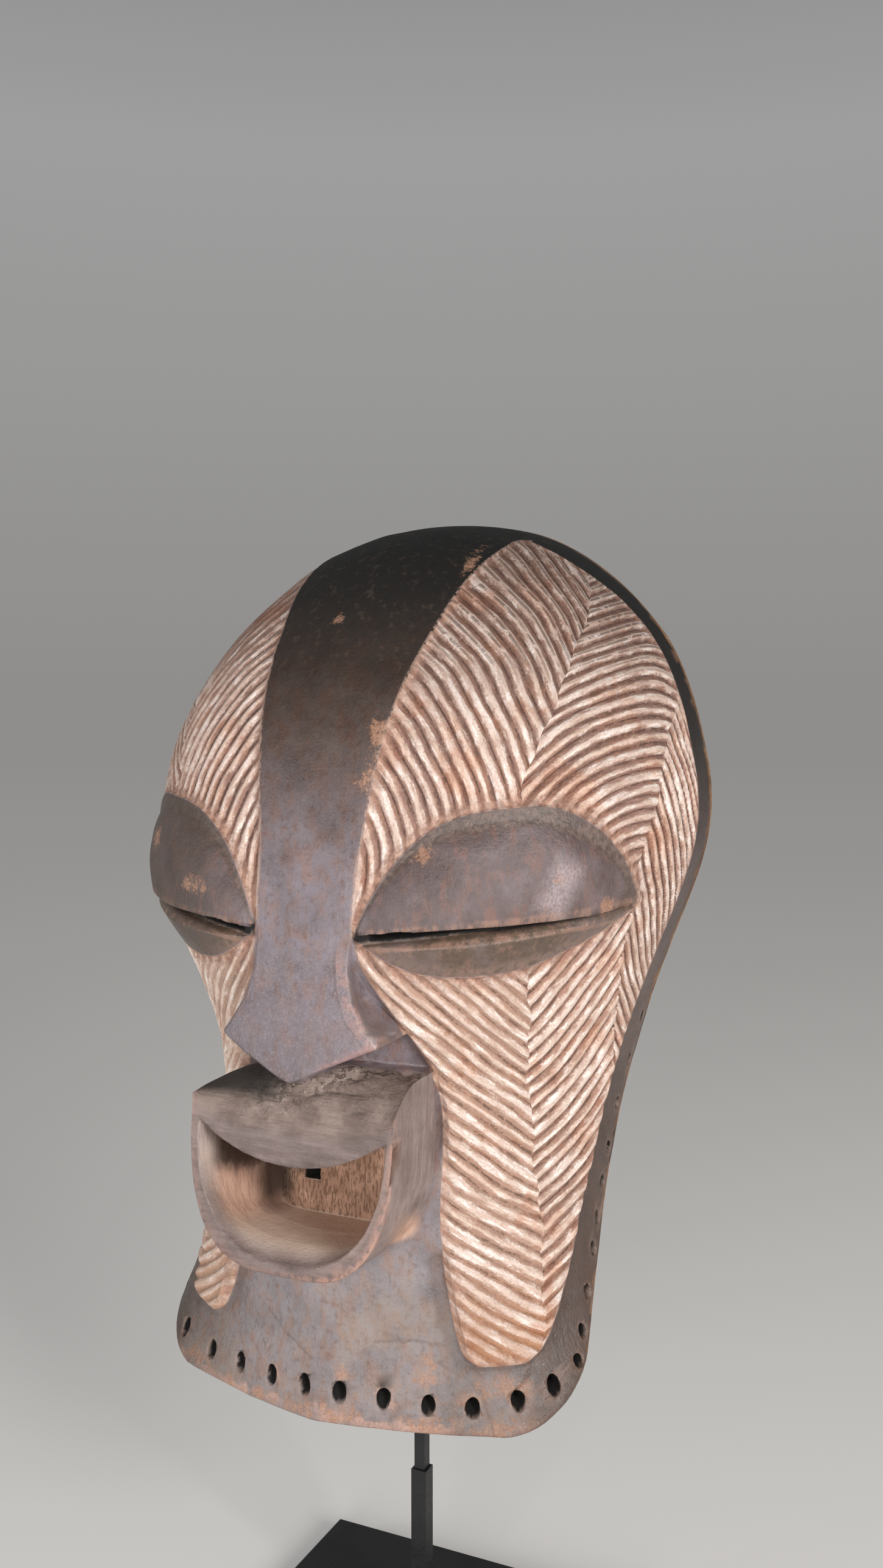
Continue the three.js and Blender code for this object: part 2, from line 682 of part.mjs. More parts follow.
// The stem stands in the sleeve and rises into the hollow. Its bars stop just short of the wood that they bear on.
function stemBody() {
  const half = STEM_SIDE / 2;
  const y = STEM_Y - MASK_FORWARD;
  const foot = FOOT_THICK + GAP - MASK_RISE;
  const room = innerRoom(WALL + GAP);
  const corner = (x, dy, z) => new THREE.Vector3(x, y + dy, z);
  const upright = bar(corner(-half, -half, foot), corner(half, half, BAR_LOW));
  const carried = bar(corner(-half, -half, BAR_LOW - half), corner(half, half, SECTIONS.at(-1).z))
    .add(bar(corner(-200, -half, BAR_HIGH - half), corner(200, half, BAR_HIGH + half)))
    .add(bar(corner(-half, -200, BAR_LOW - half), corner(half, 0, BAR_LOW + half)));
  return upright.add(carried.intersect(room));
}

function sleeveBody() {
  const half = SLEEVE_SIDE / 2;
  const bore = STEM_SIDE / 2 + GAP;
  const low = FOOT_THICK + GAP;
  const tube = bar(new THREE.Vector3(-half, -half, low), new THREE.Vector3(half, half, SLEEVE_TOP));
  const room = bar(new THREE.Vector3(-bore, -bore, low - 1), new THREE.Vector3(bore, bore, SLEEVE_TOP + 1));
  return tube.subtract(room);
}

function footPlate() {
  const half = FOOT_SIDE / 2 - FOOT_BEVEL;
  const outline = new THREE.Shape();
  outline.moveTo(-half, -half);
  outline.lineTo(half, -half);
  outline.lineTo(half, half);
  outline.lineTo(-half, half);
  outline.closePath();
  const plate = new THREE.ExtrudeGeometry(outline, {
    depth: FOOT_THICK - 2 * FOOT_BEVEL,
    bevelThickness: FOOT_BEVEL,
    bevelSize: FOOT_BEVEL,
    bevelSegments: 1,
  });
  plate.translate(0, 0, FOOT_BEVEL);
  return plate;
}

const steel = [0x15161a, 0.42, 0.7];
const part = new THREE.Group();
const carried = new THREE.Group();
carried.position.set(0, MASK_FORWARD, MASK_RISE);
carried.add(piece('mask', geometryOf(maskBody()), 0x6b5649, 0.6, 0));
carried.add(piece('mount_stem', geometryOf(stemBody()), ...steel));
part.add(carried);

const sleeve = piece('mount_sleeve', geometryOf(sleeveBody()), ...steel);
sleeve.position.set(0, STEM_Y, 0);
part.add(sleeve);
part.add(piece('base_plate', footPlate(), ...steel));

export default part;
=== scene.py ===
# A carved Songye face mask on its steel stand: fine carving, finishes, floor, light and camera.
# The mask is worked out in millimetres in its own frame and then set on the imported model, in metres.
import math

import bpy
import numpy as np
from mathutils import Matrix, Vector


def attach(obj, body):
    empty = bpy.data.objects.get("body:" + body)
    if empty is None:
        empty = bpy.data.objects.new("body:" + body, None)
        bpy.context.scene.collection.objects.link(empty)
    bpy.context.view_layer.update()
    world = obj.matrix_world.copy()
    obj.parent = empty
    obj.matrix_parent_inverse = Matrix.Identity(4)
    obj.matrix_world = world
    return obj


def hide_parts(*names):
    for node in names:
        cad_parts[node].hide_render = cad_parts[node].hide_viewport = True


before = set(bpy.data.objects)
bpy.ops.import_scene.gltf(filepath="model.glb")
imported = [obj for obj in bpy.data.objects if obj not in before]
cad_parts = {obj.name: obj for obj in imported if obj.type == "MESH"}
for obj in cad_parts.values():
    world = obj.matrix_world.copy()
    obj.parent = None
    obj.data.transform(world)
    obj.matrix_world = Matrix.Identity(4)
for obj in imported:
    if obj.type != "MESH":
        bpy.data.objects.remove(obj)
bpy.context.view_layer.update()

# Where the mask's own datum stands over the foot
MASK_RISE = 111
MASK_FORWARD = 70

# The mask's horizontal sections
HEIGHT = [30, 60, 110, 160, 200, 240, 280, 310, 335, 352, 360]
HALF = [88, 84, 80, 86, 98, 109, 102, 88, 65, 39, 0]
FRONT = [149, 146, 143, 143, 152, 147, 138, 119, 96, 64, 0]
SQUARE = [1.3, 1.5, 1.7, 1.85, 2.2, 2.4, 2.4, 2.3, 2.2, 2.2, 2.2]
BACK = [-121, -96, -64, -45, -38, -32, -23, -15, -8, -3, 0]
BAND = [58, 50, 40, 38, 21, 20, 25, 30.5, 35, 34, 0]

WALL = 11
MOUTH_WALL = 27
MOUTH_WALL_HEIGHT = 114
MOUTH_WALL_SPREAD = 34

RIM_MIDDLE = 35.2
RIM_DIP = 0.4
RIM_CORNER_START = 0.72
RIM_CORNER_RISE = 24
LEVEL_ABOVE_RIM = 70
# Above this height the columns of points stay as far apart as they are there
COLUMNS_LEVEL_OUT = 355

CREST_PROUD = 1.5
NECK_SUNK = 3
PANEL_PROUD = 0.5
PANEL_PROUD_BELOW = 2
PANEL_BOTTOM = 56
PANEL_TOP = 350
PANEL_CORNER = 6
# A step between the band and a panel is this wide, measured as a turn of at least this half width
STEP = 0.9
STEP_LEAST_HALF = 30
# The band takes at most this share of the half width, and a panel at least this turn
BAND_LIMIT = 0.86
PANEL_LEAST = 0.12
# The border widens above this height, so that the panels run out to a point at the top
BORDER_WIDTH = 17
BORDER_WIDER = 20
BORDER_WIDENS = 312
BORDER_CURVE = 1.5

# The room inside reaches below the rim and behind the back's edges, and ends under the crown
ROOM_BELOW = 8
ROOM_TOP = 340
ROOM_CROWN = (343, 357)
ROOM_PAST = 30
MOUTH_WALL_WIDER = 8
SCOOP = dict(tall=17, wide=11, deep=0.5)

# How finely the surfaces are divided
COLLAR_ROWS = 24
CROWN_ROWS = 34
BAND_COLUMNS = 26
PANEL_COLUMNS = 150
EDGE_COLUMNS = 14
ROOM_GRID = (120, 110)
NOSE_GRID = (90, 61)
NOSE_LAYERS = 14
BOX_LAYERS = 52
BOX_GRID = (90, 36)
POCKET_GRID = (80, 26)
LID_COLUMNS = 110

# The nose: height, half width, depth of the front and fall of the front from its middle to its edges
NOSE_ROWS = [173, 179, 187, 197, 215, 240, 262]
NOSE_HALF = [31, 26, 21, 18.5, 18.5, 19.5, 22]
NOSE_FRONT = [163, 162, 160.5, 157.5, 154, 149, 142]
NOSE_CROWN = [7, 5.5, 4.5, 3, 2.5, 2.5, 2]
NOSE_TOP = 262
NOSE_WING_HEIGHT = 173
NOSE_TIP_HEIGHT = 159
NOSE_BACK = -126
NOSE_FLARE = 4
NOSE_UNDERSIDE_RISE = 3

# The mouth: a box with a sagging top edge and a U-shaped front, and the pocket in it
MOUTH_PLANE = -165
MOUTH_LEAN = 0.1
MOUTH_LEVEL = 120
MOUTH_BACK = -112
BOX = dict(half=39.5, bottom=94, shoulder=150, square=3, lip_middle=145, lip_corner=152)
POCKET = dict(half=34, bottom=104, shoulder=140, square=2.2, lip_middle=130.5, lip_corner=141.5)
POCKET_END = dict(half=28.5, bottom=99.5, shoulder=106, square=6, lip_middle=131, lip_corner=138)
POCKET_DISH = dict(share=0.3, side=2, bottom=5.5, top=1)
POCKET_BACK = -120
# The pocket's outline where it meets the mouth's front
MOUTH_EDGE = dict(POCKET)
MOUTH_EDGE["half"] += POCKET_DISH["side"]
MOUTH_EDGE["bottom"] -= POCKET_DISH["bottom"]
# The lip's top climbs from its front edge over the first part of its depth, least at its left side
LIP_RISE = dict(middle=19, left=1, right=9, end=0.36)
PEG_HOLE = dict(x=-19, z=113.8, width=7, height=4.8, slant=13, ahead=10, behind=30)

# The eyes, laid out between their corners along the face
EYE_INNER_X = 19
EYE_OUTER_X = 97
EYE_LENGTH = 100
SLIT_INNER = 209
SLIT_MIDDLE = 214.5
SLIT_OUTER = 217
UPPER_LID = dict(reach=38, inner=4, outer=1.9, bulge=5.5, edge=0.8)
LOWER_LID = dict(reach=18, inner=3, outer=1.7, bulge=4.5, edge=0.6)
LID_DOME = dict(reach=0.87, lean=0.14, narrow=1.2, ends=2.4, end_round=0.7, top_round=0.9)
LOWER_LID_ROUND = 0.6
LOWER_LID_LIP = 0.35
LOWER_LID_DROP = 0.2
LID_OVERLAP = 0.5
LID_ROOT = 5
LID_RIDGE = 0.2
SLIT_HEIGHT = 2.8
SLIT_START = 0.05
SLIT_END = 0.8
SLIT_SLANT = 0.2
SLIT_LEAST = 0.5
SLIT_DEPTHS = (16, 5, 3, 1, -1, -4, -8, -20)

# Lacing holes: those above the rim by distance from the middle and height, and smaller ones up the back edges
HOLE_WIDTH = 4.5
HOLE_HEIGHT = 6.8
SIDE_HOLE_SHARE = 0.72
HOLE_FROM_EDGE = 4.5
HOLE_SLANT = 0.62
# How wide a hole is at distances outwards from the face, as a share of its size there
HOLE_PROFILE = [(12, 1.8), (0.4, 1.08), (-1, 1), (-2, 0.97), (-4, 0.9), (-7, 0.8), (-24, 0.5)]
HOLE_SIDES = 24
FRONT_HOLES = [(-76, 45), (-54.5, 44.2), (-36, 45.5), (-18.5, 46.5), (-3.5, 47.2), (8.5, 46.8),
               (24, 46.3), (40, 45), (55.5, 44.5), (71, 46.5), (83, 50)]
SIDE_HOLES = [55.5, 63.5, 74.5, 87.5, 97, 108.5, 120, 135, 151, 167]

# The striped panels: each zone's grooves are arcs round one far centre. Centres and seams are given by their
# distance round the face and their height
PITCH = 4.6
GROOVE_DEPTH = 1.25
BROW_CENTRE = (-24, 227)
TEMPLE_CENTRE = (128, 204)
EDGE_CENTRE = (-558, -156)
CHEEK_CENTRE = (227, 353)
JAW_CENTRE = (-43, 343)
# Seams between the zones, as heights and the distances at them
BROW_SEAM = ([215, 256, 270, 282, 294, 308, 322, 348],
             [70, 72, 77, 80, 83, 87, 90, 93])
CHEEK_SEAM = ([40, 58, 73, 93, 114, 126, 137, 148, 171, 189, 215],
              [77, 78, 81, 81, 80, 78, 77, 76, 77, 79, 80])
OUTER_SEAM = ([145, 155, 164, 177, 189, 204, 215, 226, 239, 255, 270, 280, 300],
              [118, 119, 119, 121, 124, 124, 124, 123, 126, 132, 138, 145, 158])

# Spots rubbed down to bare wood: distance round the face, height, and how far each reaches both ways
BARE_SPOTS = [
    (22, 276, 4, 9), (20, 262, 2.5, 9), (34, 339, 3, 7), (-6, 316, 3, 3), (87, 228, 3.2, 2.8),
    (42, 237, 5, 4), (106, 218, 6, 3.5), (-24, 39, 9, 3.5), (-3, 40, 9, 4), (11, 40, 8, 4),
    (10, 53, 4, 5), (42, 39, 10, 3.5), (42, 54, 3, 8), (66, 38, 12, 3), (56, 46, 4, 5),
    (80, 40, 9, 3), (-42, 38, 7, 3), (-64, 40, 12, 3), (96, 54, 4, 8), (104, 78, 3, 12),
    (-96, 60, 4, 14), (70, 50, 14, 4), (-80, 236, 7, 5), (-45, 222, 8, 4),
]

# Fine cracks down the collar, as places round the face and heights
CRACKS = [
    [(45, 59), (60, 50), (65, 37)],
    [(-26, 68), (-14, 62), (-2, 57)],
    [(22, 65), (34, 66), (47, 64)],
]

# The most triangles left in the mesh, and how finely points are told apart before it is thinned
TRIANGLE_LIMIT = 190000
WELDS_PER_MM = 2000
# Steps of turn and of share that slopes are measured over
TURN_STEP = 0.01
SHARE_STEP = 0.01


def spline(at, values, end_slope):
    """A smooth curve through the given points, with the given slope at its far end."""
    at = np.array(at, float)
    values = np.array(values, float)
    n = len(at)
    width = np.diff(at)
    rise = np.diff(values) / width
    matrix = np.zeros((n, n))
    right = np.zeros(n)
    matrix[0, :2] = 2, 1
    right[0] = 3 * rise[0]
    for i in range(1, n - 1):
        matrix[i, i - 1:i + 2] = width[i], 2 * (width[i - 1] + width[i]), width[i - 1]
        right[i] = 3 * (width[i] * rise[i - 1] + width[i - 1] * rise[i])
    matrix[-1, -1] = 1
    right[-1] = end_slope
    slopes = np.linalg.solve(matrix, right)

    def curve(x):
        x = np.asarray(x, float)
        i = np.clip(np.searchsorted(at, x) - 1, 0, n - 2)
        h = width[i]
        u = (x - at[i]) / h
        chord = values[i] * (1 + 2 * u) * (1 - u) ** 2 + values[i + 1] * u * u * (3 - 2 * u)
        return chord + h * u * (1 - u) * (slopes[i] * (1 - u) - slopes[i + 1] * u)

    return curve


# Distance run along the face's middle line gives the sections their places
run = np.concatenate([[0], np.cumsum(np.hypot(np.diff(HEIGHT), np.diff(FRONT)))])
RUN_END = run[-1]


def last_slope(values):
    return (values[-1] - values[-2]) / (run[-1] - run[-2])


height_at = spline(run, HEIGHT, 0)
half_at = spline(run, HALF, last_slope(HALF))
front_at = spline(run, FRONT, last_slope(FRONT))
square_at = spline(run, SQUARE, 0)
back_at = spline(run, BACK, last_slope(BACK))
band_at = spline(run, BAND, last_slope(BAND))
RUNS = np.linspace(-10, RUN_END, 8000)
HEIGHTS = height_at(RUNS)


def run_at(z):
    return np.interp(z, HEIGHTS, RUNS)


def smooth(x, low, high):
    u = np.clip((x - low) / (high - low), 0, 1)
    return u * u * (3 - 2 * u)


def face_point(s, t):
    """A point of the plain face: s runs up its middle line, t turns from the middle to the back edge."""
    power = 2 / square_at(s)
    back = back_at(s)
    across = np.sign(t) * np.abs(np.sin(t)) ** power
    along = np.maximum(np.cos(t), 0) ** power
    z = height_at(s) + 0 * across
    return np.stack([half_at(s) * across, back - (front_at(s) + back) * along, z], -1)


def face_normal(s, t):
    e = TURN_STEP
    s = np.minimum(s, RUN_END - 2)
    t = np.clip(t, -math.pi / 2 + 2 * e, math.pi / 2 - 2 * e)
    up = face_point(s + 1, t) - face_point(s - 1, t)
    round_ = face_point(s, t + e) - face_point(s, t - e)
    normal = np.cross(round_, up)
    return normal / np.linalg.norm(normal, axis=-1, keepdims=True)


def off_face(s, t, distance):
    return face_point(s, t) + face_normal(s, t) * np.asarray(distance)[..., None]


def turn_at(s, x):
    ratio = np.minimum(np.abs(x) / np.maximum(half_at(s), 1e-6), 1)
    return np.sign(x) * np.arcsin(ratio ** (square_at(s) / 2))


def turn_from_back(s, distance):
    depth = np.maximum(front_at(s) + back_at(s), 1e-6)
    return np.arccos(np.minimum(distance / depth, 0.95) ** (square_at(s) / 2))


def turn_moved(s, t, distance):
    """A turn moved on by a distance along the face, backwards where the distance is negative."""
    e = TURN_STEP
    pace = np.linalg.norm(face_point(s, t + e) - face_point(s, t - e), axis=-1) / (2 * e)
    return t + distance / pace


# Distance round the face from its middle, tabled by run and turn
CHART_TURNS = np.linspace(0, math.pi / 2, 181)
CHART_RUNS = np.linspace(0, RUN_END - 3, 240)
chart_points = face_point(CHART_RUNS[:, None], CHART_TURNS[None, :])
CHART = np.zeros((len(CHART_RUNS), len(CHART_TURNS)))
CHART[:, 1:] = np.cumsum(np.linalg.norm(np.diff(chart_points, axis=1), axis=-1), axis=1)


def around(s, t):
    """Distance round the face from the middle line, the same on both sides."""
    i = np.clip((s - CHART_RUNS[0]) / (CHART_RUNS[1] - CHART_RUNS[0]), 0, len(CHART_RUNS) - 1.001)
    j = np.clip(np.abs(t) / (CHART_TURNS[1] - CHART_TURNS[0]), 0, len(CHART_TURNS) - 1.001)
    i0 = i.astype(int)
    j0 = j.astype(int)
    u = i - i0
    v = j - j0
    low = CHART[i0, j0] * (1 - v) + CHART[i0, j0 + 1] * v
    high = CHART[i0 + 1, j0] * (1 - v) + CHART[i0 + 1, j0 + 1] * v
    return low * (1 - u) + high * u


def block(*layers):
    """The points and four-cornered faces of a closed block made of layers, each a grid of points."""
    layers = [np.asarray(layer, float) for layer in layers]
    rows, columns = layers[0].shape[:2]
    points = np.concatenate([layer.reshape(-1, 3) for layer in layers])
    grid = np.arange(rows * columns).reshape(rows, columns)
    last = (len(layers) - 1) * rows * columns

    def quads(a, b, c, d):
        return np.stack([a.ravel(), b.ravel(), c.ravel(), d.ravel()], 1)

    a, b, c, d = grid[:-1, :-1], grid[:-1, 1:], grid[1:, 1:], grid[1:, :-1]
    faces = [quads(a, b, c, d), quads(a + last, d + last, c + last, b + last)]
    rim = np.concatenate([grid[:-1, 0], grid[-1, :-1], grid[:0:-1, -1], grid[0, :0:-1]])
    following = np.roll(rim, -1)
    for layer in range(len(layers) - 1):
        low = layer * rows * columns
        high = low + rows * columns
        faces.append(quads(rim + low, following + low, following + high, rim + high))
    return points, np.concatenate(faces)


def several(*skins):
    """Several skins that don't touch, as one."""
    points = []
    faces = []
    count = 0
    for skin_points, skin_faces in skins:
        points.append(skin_points)
        faces.append(skin_faces + count)
        count += len(skin_points)
    return np.concatenate(points), np.concatenate(faces)


def added(name, data):
    made = bpy.data.objects.new(name, data)
    bpy.context.scene.collection.objects.link(made)
    return made


def mesh_object(name, points, faces):
    """An object from points and faces, with doubled points joined."""
    mesh = bpy.data.meshes.new(name)
    keys = np.round(points * WELDS_PER_MM).astype(np.int64)
    _, first, inverse = np.unique(keys, axis=0, return_index=True, return_inverse=True)
    inverse = inverse.reshape(-1)
    faces = inverse[faces]
    triangles = np.concatenate([faces[:, [0, 1, 2]], faces[:, [0, 2, 3]]]) if faces.shape[1] == 4 else faces
    a, b, c = triangles.T
    triangles = triangles[(a != b) & (b != c) & (a != c)]
    mesh.from_pydata(points[first], [], triangles)
    mesh.update()
    return added(name, mesh)


def rim_height(out):
    dip = RIM_DIP * np.sin((math.pi / 2) * np.minimum(out / RIM_CORNER_START, 1)) ** 2
    corner = np.clip((out - RIM_CORNER_START) / (1 - RIM_CORNER_START), 0, 1)
    return RIM_MIDDLE - dip + RIM_CORNER_RISE * (1 - np.sqrt(1 - corner * corner))


def row_run(height, t):
    """Rows are level above the rim zone and follow the rim's curve below it."""
    share = (height - HEIGHT[0]) / (LEVEL_ABOVE_RIM - HEIGHT[0])
    out = np.abs(np.sin(t)) ** (2 / SQUARE[0])
    rim = rim_height(out)
    low = run_at(rim + (LEVEL_ABOVE_RIM - rim) * share)
    return np.where(height >= LEVEL_ABOVE_RIM, run_at(height), low)


def band_proud(z):
    sunk = -NECK_SUNK * smooth(z, 36, 80)
    low = sunk + (CREST_PROUD + NECK_SUNK) * smooth(z, 172, 215)
    return np.where(z > 215, CREST_PROUD * (1 - smooth(z, 335, 356)), low)


def panel_proud(z):
    return PANEL_PROUD + (PANEL_PROUD_BELOW - PANEL_PROUD) * smooth(200 - z, 0, 80)


def border_width(z):
    widened = np.clip((z - BORDER_WIDENS) / (PANEL_TOP - BORDER_WIDENS), 0, 1) ** BORDER_CURVE
    return BORDER_WIDTH + BORDER_WIDER * widened


def outer_body():
    """The whole head of the mask before it is hollowed."""
    edge = 0.5
    heights = np.concatenate([
        np.linspace(HEIGHT[0], PANEL_BOTTOM - edge, COLLAR_ROWS),
        height_at(np.arange(run_at(PANEL_BOTTOM + edge), run_at(PANEL_TOP - edge), 1.0)),
        [PANEL_TOP - edge, PANEL_TOP + edge],
        height_at(np.linspace(run_at(PANEL_TOP + 1.2), RUN_END - 3, CROWN_ROWS)),
    ])
    front = []
    back = []
    for height in heights:
        s = run_at(min(height, COLUMNS_LEVEL_OUT))
        z = float(height_at(s))
        striped = PANEL_BOTTOM < height < PANEL_TOP
        # the panel's lower corners are rounded
        below_corner = max(PANEL_CORNER - (height - PANEL_BOTTOM), 0) if striped else 0
        inset = PANEL_CORNER - math.sqrt(PANEL_CORNER ** 2 - below_corner ** 2)
        band_edge = turn_at(s, min(band_at(s), BAND_LIMIT * half_at(s)))
        border_edge = max(turn_from_back(s, border_width(z)), band_edge + PANEL_LEAST)
        band_turn = turn_moved(s, band_edge, inset)
        border_turn = turn_moved(s, border_edge, -inset)
        step = STEP / max(half_at(s), STEP_LEAST_HALF)
        band = float(band_proud(np.array(height if height < LEVEL_ABOVE_RIM else z)))
        panel = float(panel_proud(np.array(z))) if striped else min(band, 0)
        turns = np.concatenate([
            np.linspace(0, band_turn, BAND_COLUMNS),
            np.linspace(band_turn + step, border_turn - step, PANEL_COLUMNS),
            np.linspace(border_turn, math.pi / 2, EDGE_COLUMNS),
        ])
        proud = np.repeat([band, panel, 0], [BAND_COLUMNS, PANEL_COLUMNS, EDGE_COLUMNS])
        turns = np.concatenate([-turns[:0:-1], turns])
        proud = np.concatenate([proud[:0:-1], proud])
        s_row = row_run(height, turns)
        points = off_face(s_row, turns, proud)
        behind = points.copy()
        behind[:, 1] = back_at(s_row)
        front.append(points)
        back.append(behind)
    pole = np.repeat(face_point(np.array([RUN_END]), np.array([0.0])), len(front[0]), 0)
    front.append(pole)
    back.append(pole)
    return mesh_object("outer", *block(front, back))


def inner_room():
    """The room inside the wall, open to the back and below, with its broad gouge marks."""
    rows, columns = ROOM_GRID
    turns = np.linspace(-1, 1, columns) * math.pi / 2
    lowest_height = HEIGHT[0] - ROOM_BELOW
    heights = np.concatenate([np.linspace(lowest_height, ROOM_TOP, rows), np.linspace(*ROOM_CROWN, 8)])
    s = run_at(heights)[:, None] + 0 * turns
    t = turns + 0 * s
    p = face_point(s, t)
    near_mouth = np.exp(-(((heights[:, None] - MOUTH_WALL_HEIGHT) / MOUTH_WALL_SPREAD) ** 2))
    near_middle = np.exp(-((p[..., 0] / (MOUTH_WALL_SPREAD + MOUTH_WALL_WIDER)) ** 2))
    arc = around(s, t) * np.sign(t)
    gouge = gouge_marks(arc, heights[:, None] + 0 * t)
    depth = -WALL - MOUTH_WALL * near_mouth * near_middle + gouge
    front = off_face(s, t, depth)
    lowest = front[0] - [0, 0, ROOM_PAST]
    top = face_point(np.array([RUN_END]), np.array([0.0]))[0] - [0, 0, WALL]
    front = np.concatenate([[lowest], front, [np.repeat(top[None], len(turns), 0)]])
    back = front.copy()
    back[..., 1] = ROOM_PAST
    return mesh_object("room", *block(front, back))


def gouge_marks(a, z):
    """Shallow scoops a finger wide, staggered row by row, from as far out as in."""
    row = np.floor(z / SCOOP["tall"])
    x = a / SCOOP["wide"] + 0.5 * (row % 2) + 0.17 * np.sin(row * 2.3)
    y = z / SCOOP["tall"] - row - 0.5
    x = x - np.floor(x) - 0.5
    return SCOOP["deep"] - 2 * SCOOP["deep"] * np.clip(np.sqrt((x / 0.62) ** 2 + (y / 0.7) ** 2), 0, 1) ** 2


def nose_body():
    rows, columns = NOSE_GRID
    layers = [[] for _ in range(NOSE_LAYERS)]
    q = np.linspace(-1, 1, columns)
    for u in np.linspace(1, 0, rows):
        wing = NOSE_TOP + (NOSE_WING_HEIGHT - NOSE_TOP) * u
        half = np.interp(wing, NOSE_ROWS, NOSE_HALF)
        tip = NOSE_TOP + (NOSE_TIP_HEIGHT - NOSE_TOP) * u
        z = tip + (wing - tip) * np.abs(q)
        face = -np.interp(wing, NOSE_ROWS, NOSE_FRONT) + np.interp(wing, NOSE_ROWS, NOSE_CROWN) * q * q
        for k, layer in enumerate(layers):
            depth = k / (len(layers) - 1)
            x = q * (half + NOSE_FLARE * depth)
            y = face + (NOSE_BACK - face) * depth
            layer.append(np.stack([x, y, z + NOSE_UNDERSIDE_RISE * u * depth], -1))
    return mesh_object("nose", *block(*layers))


def mouth_grid(outline, place, columns, rows):
    """A grid over a mouth outline: a curved top edge and a squared U below it."""
    angle = np.linspace(-1, 1, columns + 1) * math.pi / 2
    power = 2 / outline["square"]
    across = np.sign(angle) * np.abs(np.sin(angle)) ** power
    x = outline["half"] * across
    top = outline["lip_middle"] + (outline["lip_corner"] - outline["lip_middle"]) * across ** 2
    drop = (outline["shoulder"] - outline["bottom"]) * np.maximum(np.cos(angle), 0) ** power
    bottom = np.minimum(outline["shoulder"] - drop, top - 1)
    grid = []
    for up in np.linspace(0, 1, rows + 1):
        z = bottom + (top - bottom) * up
        grid.append(np.stack(place(x, z, up), -1))
    return np.array(grid)


def mouth_front(z):
    return MOUTH_PLANE + MOUTH_LEAN * (z - MOUTH_LEVEL)


def mouth_body():
    """The box reaches back into the face, its top climbing to meet the underside of the nose."""
    layers = []
    for depth in np.linspace(0, 1, BOX_LAYERS):
        climbed = 1 - max(1 - depth / LIP_RISE["end"], 0) ** 2

        def place(x, z, up):
            side = np.where(x < 0, LIP_RISE["left"], LIP_RISE["right"])
            rise = LIP_RISE["middle"] + (side - LIP_RISE["middle"]) * (x / BOX["half"]) ** 2
            y = mouth_front(z) + (MOUTH_BACK - mouth_front(z)) * depth
            return x, y, z + rise * up * climbed
        layers.append(mouth_grid(BOX, place, *BOX_GRID))
    return mesh_object("mouth", *block(*layers))


def pocket_outline(inward):
    """The pocket's outline at a share of the way from the mouth's front to its back wall."""
    return {key: POCKET[key] + (POCKET_END[key] - POCKET[key]) * inward for key in POCKET}


def mouth_pocket():
    """The pocket has a dished edge and squares off towards its flat back wall."""
    dish_end = POCKET_DISH["share"]
    layers = []
    shares = [[-0.25, 0], np.linspace(0.01, dish_end, 10), np.linspace(dish_end, 1, 26)[1:]]
    for share in np.concatenate(shares):
        inward = max(share, 0)
        dish = min(1 - share / dish_end, 1) ** 2 if share < dish_end else 0
        outline = pocket_outline(inward)
        outline["half"] += POCKET_DISH["side"] * dish
        outline["bottom"] -= POCKET_DISH["bottom"] * dish
        outline["lip_middle"] += POCKET_DISH["top"] * dish
        outline["lip_corner"] += POCKET_DISH["top"] * dish

        def place(x, z, up):
            front = mouth_front(z)
            return x, front + (POCKET_BACK - front) * share, z
        layers.append(mouth_grid(outline, place, *POCKET_GRID))
    return mesh_object("pocket", *block(*layers))


def beyond_outline(outline, x, z):
    """About how far a point lies outside the sides and bottom of a mouth outline, negative inside it."""
    power = outline["square"]
    drop = np.maximum(outline["shoulder"] - z, 0) / (outline["shoulder"] - outline["bottom"])
    return (((np.abs(x) / outline["half"]) ** power + drop ** power) ** (1 / power) - 1) * outline["half"]


def peg_hole():
    """A small square hole that leads sideways into the room behind."""
    peg = PEG_HOLE
    layers = []
    x, z = np.meshgrid(np.linspace(-0.5, 0.5, 8) * peg["width"], np.linspace(-0.5, 0.5, 7) * peg["height"])
    for depth in np.linspace(0, 1, 30):
        y = POCKET_BACK - peg["ahead"] + (peg["ahead"] + peg["behind"]) * depth
        layers.append(np.stack([peg["x"] + peg["slant"] * depth + x, y + 0 * x, peg["z"] + z], -1))
    return mesh_object("peg_hole", *block(*layers))


def slit_height(a):
    middle = SLIT_MIDDLE - (SLIT_INNER + SLIT_OUTER) / 2
    return SLIT_INNER + (SLIT_OUTER - SLIT_INNER) * a + middle * 4 * a * (1 - a)


def lid_reach(lid, a):
    shape = np.where(a < 0.5, lid["inner"], lid["outer"])
    return lid["reach"] * (1 - np.abs(2 * np.clip(a, 0, 1) - 1) ** shape)


EYE_OUTER_TURN = turn_at(run_at(SLIT_OUTER), EYE_OUTER_X)


def eye_grid(side, across, along, place):
    """A grid from corner to corner of an eye; place gives each point's height and distance off the face."""
    a, b = np.meshgrid(across, along)
    z, distance = place(a, b)
    s = run_at(z)
    inner = turn_at(s, EYE_INNER_X)
    points = off_face(s, side * (inner + (EYE_OUTER_TURN - inner) * a), distance)
    return points if side > 0 else points[:, ::-1]


def gap_at(a):
    return SLIT_HEIGHT * np.where(a < SLIT_END, 1 - (a / SLIT_END) ** 2, 0)


